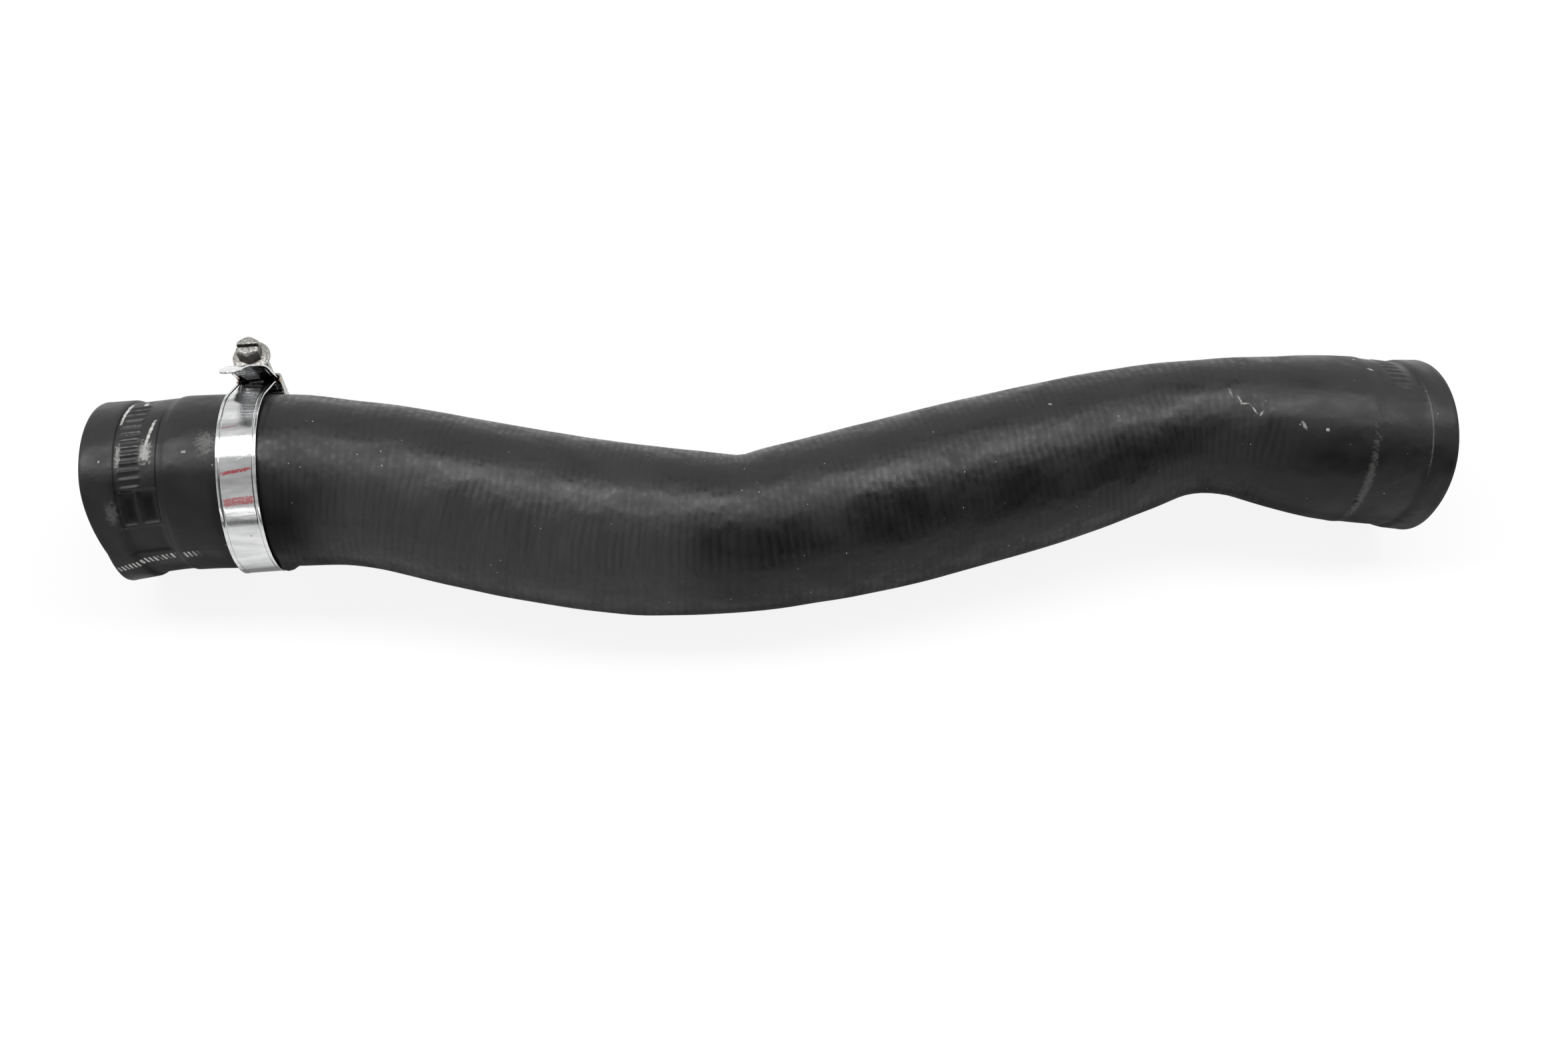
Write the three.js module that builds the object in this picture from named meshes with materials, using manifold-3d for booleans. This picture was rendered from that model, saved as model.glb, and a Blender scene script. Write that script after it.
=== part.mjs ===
// Fuel filler hose: a moulded rubber hose lying as it comes to rest, with a slack
// worm-drive clamp on its left cuff. Millimetres, +Z up, the length along X.
import * as THREE from 'three';
import { mergeVertices } from 'three/addons/utils/BufferGeometryUtils.js';
import Module from 'manifold-3d';

const wasm = await Module();
wasm.setup();

// Hose: the wall, and the bore that each cuff offers to its pipe
const hoseWall = 4.5;
const leftBore = 47;
const rightBore = 45.5;
const boreDepth = 38;
const rimChamfer = 0.8;

// Left cuff: lip at the rim, groove pressed by an earlier clamp, shoulder, clamp seat
const leftRimDiameter = 58;
const leftLipDiameter = 56.8;
const leftGrooveDiameter = 54.8;
const leftShoulderDiameter = 55.8;
const leftGrooveStart = 11.4;
const clampSeatDepth = 0.3;
const clampDistance = 46.6;

// Right cuff: shoulder, groove and lip, counted from the right face
const rightRimDiameter = 55.8;
const rightLipDiameter = 54.8;
const rightGrooveDiameter = 53.2;
const rightShoulderDiameter = 53.9;
const rightGrooveStart = 10;
const grooveFlank = 1.4;

// Centreline of the hose as it lies: X along, Y across, Z above the ground
const route = [
  [-214, 13.1, 28.0], [-204, 13.2, 30.1], [-190, 13.4, 32.5], [-169, 13.3, 34.0], [-148, 13.1, 34.1],
  [-127, 11.4, 33.3], [-103, 7.2, 31.0], [-78, 3.1, 28.6], [-52, -0.4, 27.1], [-29, -2.0, 26.8],
  [-12, -2.1, 27.2], [5, 1.2, 27.6], [31, 7.3, 28.6], [57, 14.2, 30.2], [83, 20.7, 32.4],
  [109, 27.8, 34.8], [127, 32.2, 36.0], [144, 32.9, 36.6], [161, 31.1, 35.8], [178, 30.5, 33.4],
  [193, 31.1, 29.9], [205, 32.9, 26.0],
];

// Outer diameter of the moulded body: distance from the left face, diameter
const bodyDiameters = [
  [62, 54.8], [77, 52.8], [92, 52.8], [110, 54.0], [130, 54.6], [158, 54.8], [172, 54.3], [187, 52.6],
  [203, 50.6], [218, 51.8], [236, 53.4], [262, 54.0], [284, 53.3], [302, 51.9], [320, 49.6], [336, 46.2],
  [346, 43.9], [355, 43.2], [364, 44.5], [374, 47.2], [384, 50.6], [394, 53.0],
];

// Clamp: one strip of stainless steel, a folded housing and a worm screw
const bandWidth = 12.5;
const bandThickness = 0.6;
const runningGap = 0.3;
const ringSlack = 1.05;
const clampYaw = 2.9;
const clampLean = 1.5;
const sheetThickness = 0.7;
const housingStandOff = 1.4;
const housingLength = 13.4;
const housingTop = 12;
const tunnelReach = 5.6;
const tunnelSideDrop = 1;
const tunnelLap = 1;
const shoulderDrop = 2.4;
const roofGap = 1.1;
const roofRise = 0.6;
const foldWidth = 0.8;
const foldHeight = 0.5;
const floorSetBack = 5;
const fixedEndReach = 5;
const bendLength = 4.5;

// Worm screw
const threadOffset = -1;
const wormDiameter = 7.4;
const wormInset = 0.8;
const wormPoint = 0.6;
const neckLength = 1.2;
const threadDepth = 0.9;
const threadPitch = 2;
const threadCrest = 0.6;
const threadFlank = 0.4;
const collarDiameter = 12.2;
const collarThickness = 1.2;
const collarChamfer = 0.4;
const headAcrossFlats = 7;
const headHeight = 5.6;
const headTopDiameter = 6.2;
const headChamferAngle = 35;
const driverSlotWidth = 1.3;
const driverSlotDepth = 1.7;

// Free end of the strip: its bends, its tongue and the pressed thread
const tailBend = [[-2.9, 7.3], [-5.0, 12.9], [-8.1, 17.9], [-11.6, 22.4], [-15.7, 26.9], [-20.4, 31.0]];
const tonguePlanWidth = 7;
const tonguePlanLength = 17;
const tongueShoulder = 6;
const tongueTipTrim = 0.2;
const pressedSlots = 31;
const pressedSlotLength = 5.4;
const pressedSlotWidth = 1;
const pressedSlotDepth = 0.35;
const pressedSlotSlant = 9;
const firstSlotFromTip = 9;

// Fineness of the facets
const aroundHose = 32;
const alongHose = 10.5;
const aroundScrew = 20;
const stripStep = 2.3;

// Clamp layers, from the hose outwards, at the housing, which is wider than the seat
const clampSeatRadius = leftShoulderDiameter / 2 - clampSeatDepth;
const ringRadius = clampSeatRadius + ringSlack + bandThickness / 2;
const floorInside = leftShoulderDiameter / 2 + housingStandOff;
const floorOutside = floorInside + sheetThickness;
const fixedLayer = floorOutside + runningGap + bandThickness / 2;
const slidingLayer = fixedLayer + bandThickness + runningGap;
const wormRadius = wormDiameter / 2;
const wormAxis = slidingLayer + bandThickness / 2 + runningGap + wormRadius;
const housingBottom = housingTop - housingLength;
const tunnelTop = housingTop + tunnelReach;
const tunnelInside = wormRadius + runningGap;
const tunnelOutside = tunnelInside + sheetThickness;
const collarBottom = tunnelTop + runningGap;
const collarTop = collarBottom + collarThickness;
const middleOfHead = collarTop + headHeight / 2;

const rubber = new THREE.MeshStandardMaterial({ color: 0x1b1c1d, roughness: 0.62, metalness: 0 });
const stainless = new THREE.MeshStandardMaterial({ color: 0xc9cacb, roughness: 0.2, metalness: 1 });
const steelSheet = new THREE.MeshStandardMaterial({ color: 0xa9a8a5, roughness: 0.38, metalness: 1 });
const zincSteel = new THREE.MeshStandardMaterial({ color: 0x8b8a86, roughness: 0.45, metalness: 1 });

function centreline() {
  const curve = new THREE.CatmullRomCurve3(route.map((point) => new THREE.Vector3(...point)));
  curve.arcLengthDivisions = 1200;
  return curve;
}

// Place and square axes on the centreline: along the hose, level across it, and up
function frameAt(curve, distance) {
  const share = THREE.MathUtils.clamp(distance / curve.getLength(), 0, 1);
  const along = curve.getTangentAt(share);
  const across = new THREE.Vector3(0, 0, 1).cross(along).normalize();
  const up = along.clone().cross(across);
  return { point: curve.getPointAt(share), along, across, up };
}

// A closed mesh with shared corners, as flat faces need it
function closedMesh(geometry) {
  geometry.deleteAttribute('normal');
  geometry.deleteAttribute('uv');
  return mergeVertices(geometry, 1e-4);
}

function toSolid(geometry) {
  const merged = closedMesh(geometry);
  return new wasm.Manifold(new wasm.Mesh({
    numProp: 3,
    vertProperties: new Float32Array(merged.attributes.position.array),
    triVerts: new Uint32Array(merged.index.array),
  }));
}

function toGeometry(solid) {
  const mesh = solid.getMesh();
  const geometry = new THREE.BufferGeometry();
  geometry.setAttribute('position', new THREE.BufferAttribute(new Float32Array(mesh.vertProperties), 3));
  geometry.setIndex(new THREE.BufferAttribute(new Uint32Array(mesh.triVerts), 1));
  return geometry;
}

function namedMesh(name, geometry, material) {
  const flat = geometry.index ? geometry.toNonIndexed() : geometry;
  flat.computeVertexNormals();
  const mesh = new THREE.Mesh(flat, material);
  mesh.name = name;
  return mesh;
}

// Left cuff, from the rim to the clamp seat: distance and radius
function leftCuffProfile() {
  const grooveEnd = leftGrooveStart + bandWidth;
  const seatStart = clampDistance - bandWidth / 2;
  return [
    [0, leftRimDiameter / 2 - rimChamfer],
    [rimChamfer, leftRimDiameter / 2],
    [leftGrooveStart - grooveFlank, leftLipDiameter / 2],
    [leftGrooveStart, leftGrooveDiameter / 2],
    [grooveEnd, leftGrooveDiameter / 2],
    [grooveEnd + grooveFlank, leftShoulderDiameter / 2],
    [seatStart - grooveFlank, leftShoulderDiameter / 2],
    [seatStart, clampSeatRadius],
    [seatStart + bandWidth, clampSeatRadius],
  ];
}

// Right cuff, from the shoulder to the rim
function rightCuffProfile(length) {
  const lipEnd = length - rightGrooveStart;
  const grooveStart = lipEnd - bandWidth;
  return [
    [grooveStart - 2 * grooveFlank, rightShoulderDiameter / 2],
    [grooveStart, rightGrooveDiameter / 2],
    [lipEnd, rightGrooveDiameter / 2],
    [lipEnd + grooveFlank, rightLipDiameter / 2],
    [length - rimChamfer, rightRimDiameter / 2],
    [length, rightRimDiameter / 2 - rimChamfer],
  ];
}

// The body between the cuffs, on a smooth curve through its diameters
function bodyProfile(inset) {
  const spline = new THREE.SplineCurve(bodyDiameters.map(([s, d]) => new THREE.Vector2(s, d / 2 - inset)));
  const steps = Math.round(spline.getLength() / alongHose);
  return spline.getSpacedPoints(steps).map((point) => [point.x, point.y]);
}

function boreProfile(length) {
  return [
    [0, leftBore / 2 + rimChamfer],
    [rimChamfer, leftBore / 2],
    [boreDepth, leftBore / 2],
    ...bodyProfile(hoseWall).filter((station, index) => index % 2 === 0),
    [length - rightGrooveStart - bandWidth, rightBore / 2],
    [length - rimChamfer, rightBore / 2],
    [length, rightBore / 2 + rimChamfer],
  ];
}

// The straight turned wall is bent along the centreline, ring by ring
function hoseBody(curve) {
  const length = curve.getLength();
  const outside = [...leftCuffProfile(), ...bodyProfile(0), ...rightCuffProfile(length)];
  const inside = boreProfile(length).reverse();
  const outline = [...outside, ...inside, outside[0]].map(([s, r]) => new THREE.Vector2(r, s));
  const geometry = new THREE.LatheGeometry(outline, aroundHose);
  const position = geometry.attributes.position;
  for (let i = 0; i < position.count; i += 1) {
    const { point, across, up } = frameAt(curve, position.getY(i));
    point.addScaledVector(across, -position.getX(i)).addScaledVector(up, position.getZ(i));
    position.setXYZ(i, point.x, point.y, point.z);
  }
  return namedMesh('hose_body', closedMesh(geometry), rubber);
}

// Where the ring leaves its circle on the straight run to a corner at the housing
function tangentPoint(corner, side) {
  const angle = corner.angle() + side * Math.acos(ringRadius / corner.length());
  return new THREE.Vector2(Math.cos(angle), Math.sin(angle)).multiplyScalar(ringRadius);
}

// Middle line of the strip, seen along the hose: Y away from the hose, Z towards the head.
// It starts at the fixed end inside the housing, goes once round and ends at the free tip.
function stripPath() {
  const upper = new THREE.Vector2(fixedLayer, housingTop + runningGap);
  const lower = new THREE.Vector2(slidingLayer, housingBottom - bendLength);
  const leave = tangentPoint(upper, 1);
  const arrive = tangentPoint(lower, -1);
  const downward = arrive.clone().sub(lower).normalize();
  const bend = Math.atan2(-downward.x, -downward.y);
  const fixedCorner = new THREE.Vector2(fixedLayer, lower.y + (slidingLayer - fixedLayer) * Math.tan(bend / 2));
  const fixedEnd = fixedCorner.clone().addScaledVector(downward, fixedEndReach);
  const towardsLeave = leave.clone().sub(upper).setLength(bendLength).add(upper);
  const fromArrive = lower.clone().addScaledVector(downward, bendLength);
  const path = new THREE.Path();
  path.moveTo(fixedEnd.x, fixedEnd.y);
  path.quadraticCurveTo(fixedCorner.x, fixedCorner.y, fixedLayer, fixedCorner.y + bendLength);
  path.lineTo(fixedLayer, upper.y - bendLength);
  path.quadraticCurveTo(upper.x, upper.y, towardsLeave.x, towardsLeave.y);
  path.lineTo(leave.x, leave.y);
  path.absarc(0, 0, ringRadius, leave.angle(), arrive.angle(), false);
  path.lineTo(fromArrive.x, fromArrive.y);
  path.quadraticCurveTo(lower.x, lower.y, slidingLayer, lower.y + bendLength);
  path.lineTo(slidingLayer, housingTop);
  path.splineThru(tailBend.map(([y, z]) => new THREE.Vector2(slidingLayer + y, housingTop + z)));
  return path;
}

// Both faces of the strip, set off from its middle line
function stripOutline(path) {
  const steps = Math.round(path.getLength() / stripStep);
  const outer = [];
  const inner = [];
  for (let i = 0; i <= steps; i += 1) {
    const point = path.getPointAt(i / steps);
    const tangent = path.getTangentAt(i / steps);
    const away = new THREE.Vector2(tangent.y, -tangent.x).multiplyScalar(bandThickness / 2);
    outer.push(point.clone().add(away));
    inner.push(point.clone().sub(away));
  }
  return new THREE.Shape([...outer, ...inner.reverse()]);
}

// The shape lies in Y and Z, and is drawn out along X, centred
function extrudeAcross(shape, width, middle = 0) {
  const geometry = new THREE.ExtrudeGeometry(shape, { depth: width, bevelEnabled: false });
  geometry.translate(0, 0, middle - width / 2);
  const turn = new THREE.Matrix4().makeBasis(
    new THREE.Vector3(0, 1, 0), new THREE.Vector3(0, 0, 1), new THREE.Vector3(1, 0, 0));
  return geometry.applyMatrix4(turn);
}

// One of the two offcuts that leave the rounded tongue at the free tip
function tongueOffcut(side) {
  const half = tonguePlanWidth / 2;
  const shape = new THREE.Shape();
  const point = (across, back) => [side * across, -back];
  shape.moveTo(...point(bandWidth, tonguePlanLength + tongueShoulder));
  shape.lineTo(...point(bandWidth / 2, tonguePlanLength + tongueShoulder));
  shape.bezierCurveTo(
    ...point(bandWidth / 2, tonguePlanLength + tongueShoulder / 2),
    ...point(half, tonguePlanLength + tongueShoulder / 2),
    ...point(half, tonguePlanLength));
  shape.lineTo(...point(half, half));
  shape.quadraticCurveTo(...point(half, tongueTipTrim), ...point(0, -tongueTipTrim));
  shape.lineTo(...point(0, -half));
  shape.lineTo(...point(bandWidth, -half));
  shape.closePath();
  return shape;
}

// The tongue's plan is cut square to the chord of the last stretch of the tail
function cutTongue(strip, path) {
  const tip = path.getPointAt(1);
  const chord = tip.clone().sub(path.getPointAt(1 - tonguePlanLength / path.getLength())).normalize();
  const place = new THREE.Matrix4().makeBasis(
    new THREE.Vector3(1, 0, 0),
    new THREE.Vector3(0, chord.x, chord.y),
    new THREE.Vector3(0, -chord.y, chord.x));
  place.setPosition(0, tip.x, tip.y);
  return [-1, 1].reduce((left, side) => {
    const offcut = new THREE.ExtrudeGeometry(tongueOffcut(side), {
      depth: 2 * bandWidth, bevelEnabled: false, curveSegments: 6,
    });
    offcut.translate(0, 0, -bandWidth);
    offcut.applyMatrix4(place);
    return left.subtract(toSolid(offcut));
  }, strip);
}

// The pressed thread: slanted slots that start near the tip and run round past the housing
function cutPressedSlots(strip, path) {
  const length = path.getLength();
  let cut = strip;
  for (let i = 0; i < pressedSlots; i += 1) {
    const share = 1 - (firstSlotFromTip + i * threadPitch) / length;
    const middle = path.getPointAt(share);
    const tangent = path.getTangentAt(share);
    const slot = new THREE.BoxGeometry(pressedSlotLength, pressedSlotWidth, 2 * pressedSlotDepth);
    slot.rotateZ(THREE.MathUtils.degToRad(pressedSlotSlant));
    const place = new THREE.Matrix4().makeBasis(
      new THREE.Vector3(1, 0, 0),
      new THREE.Vector3(0, tangent.x, tangent.y),
      new THREE.Vector3(0, -tangent.y, tangent.x));
    const lift = bandThickness / 2;
    place.setPosition(threadOffset, middle.x + tangent.y * lift, middle.y - tangent.x * lift);
    cut = cut.subtract(toSolid(slot.applyMatrix4(place)));
  }
  return cut;
}

function clampBand() {
  const path = stripPath();
  path.arcLengthDivisions = 800;
  const strip = toSolid(extrudeAcross(stripOutline(path), bandWidth));
  return namedMesh('clamp_band', toGeometry(cutPressedSlots(cutTongue(strip, path), path)), stainless);
}

// Section of the folded sheet: X across the band, Y away from the hose. The offset
// grows the inside outline into the outside one.
function housingOutline(offset) {
  const wall = bandWidth / 2 + runningGap + offset;
  const roof = slidingLayer + bandThickness / 2 + roofGap + offset;
  const tunnel = tunnelInside + offset;
  const outline = new THREE.Path();
  outline.moveTo(-wall, floorOutside - offset);
  outline.lineTo(wall, floorOutside - offset);
  outline.lineTo(wall, roof - foldHeight);
  outline.lineTo(wall - foldWidth, roof);
  outline.lineTo(threadOffset + tunnel + foldWidth, roof + roofRise);
  outline.lineTo(threadOffset + tunnel, wormAxis - tunnelSideDrop);
  outline.absarc(threadOffset, wormAxis, tunnel, 0, Math.PI, false);
  outline.lineTo(-wall, wormAxis - shoulderDrop);
  outline.closePath();
  return outline;
}

// Sheet sections are drawn out towards the head
function extrudeUp(shape, from, to) {
  const geometry = new THREE.ExtrudeGeometry(shape, {
    depth: to - from, bevelEnabled: false, curveSegments: 10,
  });
  return geometry.translate(0, 0, from);
}

// The roof of the tunnel reaches on towards the collar, open on the side of the strip
function tunnelRoof() {
  const shape = new THREE.Shape();
  shape.absarc(threadOffset, wormAxis, tunnelOutside, 0, Math.PI, false);
  shape.absarc(threadOffset, wormAxis, tunnelInside, Math.PI, 0, true);
  return extrudeUp(shape, housingTop - tunnelLap, tunnelTop);
}

function clampHousing() {
  const section = new THREE.Shape(housingOutline(sheetThickness).getPoints(10));
  section.holes.push(housingOutline(0));
  const wrap = toSolid(extrudeUp(section, housingBottom, housingTop));
  const setBack = new THREE.BoxGeometry(bandWidth + 2 * runningGap, 4 * sheetThickness, 2 * floorSetBack);
  setBack.translate(0, floorInside, housingTop);
  const solid = wrap.add(toSolid(tunnelRoof())).subtract(toSolid(setBack));
  return namedMesh('clamp_housing', toGeometry(solid), steelSheet);
}

// Turned form of the screw about Z: worm, neck and collar
function screwTurning() {
  const root = wormRadius - threadDepth;
  const start = housingBottom + wormInset;
  const threads = Math.floor((tunnelTop - neckLength - start) / threadPitch);
  const outline = [[0, start - wormPoint], [root - wormPoint, start - wormPoint], [root, start]];
  for (let i = 0; i < threads; i += 1) {
    const crest = start + (i + 0.5) * threadPitch;
    const half = threadCrest / 2;
    outline.push([root, crest - half - threadFlank], [wormRadius, crest - half]);
    outline.push([wormRadius, crest + half], [root, crest + half + threadFlank]);
  }
  const rim = collarDiameter / 2;
  outline.push([root, collarBottom], [rim - collarChamfer, collarBottom]);
  outline.push([rim, collarBottom + collarChamfer], [rim - collarChamfer, collarTop]);
  outline.push([root, collarTop], [root, middleOfHead], [0, middleOfHead]);
  const points = outline.map(([r, z]) => new THREE.Vector2(r, z));
  return new THREE.LatheGeometry(points, aroundScrew).rotateX(Math.PI / 2);
}

// Hexagon head with a turned chamfer and a driver slot along the hose
function screwHead() {
  const corner = headAcrossFlats / Math.sqrt(3);
  const hexagon = new THREE.CylinderGeometry(corner, corner, headHeight, 6).rotateX(Math.PI / 2);
  hexagon.translate(0, 0, middleOfHead);
  const top = collarTop + headHeight;
  const clear = headAcrossFlats;
  const flat = headTopDiameter / 2;
  const drop = (clear - flat) * Math.tan(THREE.MathUtils.degToRad(headChamferAngle));
  const bound = [[0, collarBottom], [clear, collarBottom], [clear, top - drop], [flat, top], [0, top]];
  const turned = new THREE.LatheGeometry(bound.map(([r, z]) => new THREE.Vector2(r, z)), aroundScrew);
  const slot = new THREE.BoxGeometry(2 * headAcrossFlats, driverSlotWidth, 2 * driverSlotDepth);
  slot.translate(0, 0, top);
  return toSolid(hexagon).intersect(toSolid(turned.rotateX(Math.PI / 2))).subtract(toSolid(slot));
}

function clampScrew() {
  const screw = toSolid(screwTurning()).add(screwHead());
  const mesh = namedMesh('clamp_screw', toGeometry(screw), zincSteel);
  mesh.position.set(threadOffset, wormAxis, 0);
  return mesh;
}

// The slack clamp sits a little askew, its housing behind the hose and its screw upright
function clamp(curve) {
  const seat = frameAt(curve, clampDistance);
  const group = new THREE.Group();
  group.quaternion.setFromRotationMatrix(new THREE.Matrix4().makeBasis(seat.along, seat.across, seat.up));
  group.rotateZ(THREE.MathUtils.degToRad(clampYaw));
  group.rotateY(THREE.MathUtils.degToRad(-clampLean));
  group.position.copy(seat.point);
  group.add(clampBand(), clampHousing(), clampScrew());
  return group;
}

const curve = centreline();
const hose = new THREE.Group();
hose.add(hoseBody(curve), clamp(curve));

// The whole stands on the ground, centred on its own box
hose.updateMatrixWorld(true);
const box = new THREE.Box3().setFromObject(hose, true);
const middle = box.getCenter(new THREE.Vector3());
hose.position.set(-middle.x, -middle.y, -box.min.z);

export default hose;
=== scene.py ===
# Fuel filler hose: a moulded rubber hose with a slack worm-drive clamp on its left cuff.
# Sizes are in millimetres in the frame's axes, and turned to metres when a mesh is finished.
import math

import bmesh
import bpy
import numpy as np
from mathutils import Matrix, Vector


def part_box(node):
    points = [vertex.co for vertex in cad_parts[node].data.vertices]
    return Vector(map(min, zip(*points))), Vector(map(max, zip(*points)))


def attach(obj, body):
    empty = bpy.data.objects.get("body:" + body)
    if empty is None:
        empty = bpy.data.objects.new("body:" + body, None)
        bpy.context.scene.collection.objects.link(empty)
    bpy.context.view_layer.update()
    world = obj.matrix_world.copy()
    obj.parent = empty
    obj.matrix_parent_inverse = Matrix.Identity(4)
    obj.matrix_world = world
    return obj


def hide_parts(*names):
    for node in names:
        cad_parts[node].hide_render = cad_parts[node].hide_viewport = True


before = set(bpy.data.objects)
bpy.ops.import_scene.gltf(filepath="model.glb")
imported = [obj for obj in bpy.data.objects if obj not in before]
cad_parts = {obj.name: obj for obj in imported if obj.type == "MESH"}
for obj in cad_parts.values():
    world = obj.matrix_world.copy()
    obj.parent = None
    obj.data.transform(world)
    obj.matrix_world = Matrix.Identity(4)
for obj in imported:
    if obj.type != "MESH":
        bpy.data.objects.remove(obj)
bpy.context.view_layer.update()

MM = 0.001

# Camera: long lens, looking down on the hose from the front, with its focal length counted in the
# pixels of an image of this width
CAMERA_TARGET = Vector((2.84, -16.01, 30.29)) * MM
CAMERA_DISTANCE = 720 * MM
CAMERA_ELEVATION = 57
CAMERA_FOCAL_PIXELS = 3384
IMAGE_WIDTH = 2352
SENSOR_WIDTH = 36

# Hose route: X along, Y across, Z above the ground, before it is moved to the frame's hose
ROUTE = [
    (-214, 13.1, 28.0), (-204, 13.2, 30.1), (-190, 13.4, 32.5), (-169, 13.3, 34.0), (-148, 13.1, 34.1),
    (-127, 11.4, 33.3), (-103, 7.2, 31.0), (-78, 3.1, 28.6), (-52, -0.4, 27.1), (-29, -2.0, 26.8),
    (-12, -2.1, 27.2), (5, 1.2, 27.6), (31, 7.3, 28.6), (57, 14.2, 30.2), (83, 20.7, 32.4),
    (109, 27.8, 34.8), (127, 32.2, 36.0), (144, 32.9, 36.6), (161, 31.1, 35.8), (178, 30.5, 33.4),
    (193, 31.1, 29.9), (205, 32.9, 26.0),
]
# Outer diameter of the body: distance from the left face, diameter
BODY_DIAMETERS = [
    (62, 54.8), (77, 52.8), (92, 52.8), (110, 54.0), (130, 54.6), (158, 54.8), (172, 54.3), (187, 52.6),
    (203, 50.6), (218, 51.8), (236, 53.4), (262, 54.0), (284, 53.3), (302, 51.9), (320, 49.6), (336, 46.2),
    (346, 43.9), (355, 43.2), (364, 44.5), (374, 47.2), (384, 50.6), (394, 53.0),
]
HOSE_WALL = 4.5
LEFT_BORE = 47
RIGHT_BORE = 45.5
BORE_DEPTH = 38
LEFT_BORE_EASE = 16
RIGHT_BORE_EASE = 12
RIM_ROUND = 0.8
CORNER_EASE = 0.5
UNEVEN_HEIGHT = 0.35
UNEVEN_SEED = 7

# Steps of the hose's mesh: round it, along the bore, and along the outside, close together where
# marks are, as the distance where a step starts and the step. Here and in the tables of marks,
# negative distances are counted from the right face.
AROUND_HOSE = 384
BORE_STEP = 12
RING_STEPS = [(RIM_ROUND, 1.1), (9.6, 0.55), (25.5, 1.2), (62, 3.6), (-29, 0.7), (-9, 1.5)]

# Left cuff: rim, lip, groove of an earlier clamp, shoulder and the clamp's seat
LEFT_RIM = 29.0
LEFT_LIP = 28.4
LEFT_GROOVE = 27.4
LEFT_GROOVE_START = 11.4
LEFT_SHOULDER = 27.9
CLAMP_SEAT = 27.6
CLAMP_DISTANCE = 46.6
GROOVE_FLANK = 1.4

# Right cuff, counted from the right face
RIGHT_RIM = 27.9
RIGHT_LIP = 27.4
RIGHT_GROOVE = 26.6
RIGHT_GROOVE_START = 10
RIGHT_SHOULDER = 26.95

# Marks on the rubber, placed by distance along the hose and by angle round it, where 0 is the top
# and 90 the front.
# Ridges that the slots of earlier clamps pressed into the grooves, in degrees apart:
# how many, angle of the first, height, distance, half length, half width, fade
RIDGE_PITCH = 5.55
FIRST_LEFT_RIDGE = -31.5
RIDGE_ROWS = [(13, FIRST_LEFT_RIDGE, 0.55, 15.3, 2.9, 0.7, 1.6), (9, -52, 0.3, -15.5, 2.7, 0.8, 1.9)]
RIDGE_END_FADE = 1.1
# Print of the left one's housing and the rib that stands up in it: distance, half length and fade,
# then angle, half spread and fade
HOUSING_PRINT_DEPTH = 1.3
HOUSING_PRINT_LENGTH = (17.0, 5.6, 1.6)
HOUSING_PRINT_SPREAD = (48.5, 11.5, 3)
HOUSING_RIB_RISE = 1.0
HOUSING_RIB_LENGTH = (16.6, 0.7, 2.4)
# Other marks: height, distance, half length, fade, angle, half spread, fade
PRESSED_MARKS = [
    (-0.5, 16.2, 6.6, 1.2, 72, 10.5, 2),    # the earlier left strip, beside its housing
    (-0.3, -13.2, 3.4, 1.4, -1, 5.5, 3),    # the edge of the right one's housing
    (1.6, 56.2, 1.7, 3.4, 124, 17, 16),     # rubber pushed up in front of the clamp, below
    (-0.8, 401.6, 0.4, 1.3, 82, 1.2, 2.2),  # a nick near the right cuff
    (-0.5, 205, 3, 12, -62, 18, 24),        # the tight inside of the middle bend
]
# Uneven rims: depth trimmed off, angle, half spread, fade, reach along the hose
LEFT_TRIM = (3.0, 78, 22, 66, 12)
RIGHT_TRIM = (0.8, 84, 20, 44, 9)

# Clamp: its place on the hose, the strip, and the layers at the housing counted from the
# clamp's middle. Its own axes are across the strip, away from the hose and towards the head.
CLAMP_YAW = 2.9
CLAMP_LEAN = 1.5
BAND_WIDTH = 12.5
BAND_THICKNESS = 0.6
STRIP_SLACK = 1.05
RUNNING_GAP = 0.3
SHEET_THICKNESS = 0.7
FLOOR_GAP = 1.4
RING_RADIUS = CLAMP_SEAT + STRIP_SLACK + BAND_THICKNESS / 2
FLOOR_OUTSIDE = LEFT_SHOULDER + FLOOR_GAP + SHEET_THICKNESS
FIXED_LAYER = FLOOR_OUTSIDE + RUNNING_GAP + BAND_THICKNESS / 2
SLIDING_LAYER = FIXED_LAYER + BAND_THICKNESS + RUNNING_GAP
HOUSING_TOP = 12
HOUSING_HEIGHT = 13.4
HOUSING_BOTTOM = HOUSING_TOP - HOUSING_HEIGHT
TUNNEL_REACH = 5.6
TUNNEL_TOP = HOUSING_TOP + TUNNEL_REACH
ROOF_GAP = 1.1
FOLD_RADIUS = 0.9
SHEET_EDGE_BREAK = 0.14
FLOOR_SET_BACK = 5
BEND_LENGTH = 4.5
FIXED_END_REACH = 5
TAIL_BENDS = [(-2.9, 7.3), (-5.0, 12.9), (-8.1, 17.9), (-11.6, 22.4), (-15.7, 26.9), (-20.4, 31.0)]

# Free tongue and the pressed thread
TONGUE_WIDTH = 7
TONGUE_LENGTH = 17
TONGUE_SHOULDER = 6
THREAD_OFFSET = -1
SLOT_PITCH = 2
SLOT_COUNT = 31
SLOT_LENGTH = 5.4
SLOT_SLANT = 9
FIRST_SLOT = 9
SLOT_DEPTH = 0.32

# Beaded edges of the strip: height of the bead, and the groove beside it, counted from the edge
BEAD_HEIGHT = 0.12
EDGE_GROOVE = 1.15
EDGE_GROOVE_DEPTH = 0.16

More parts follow.
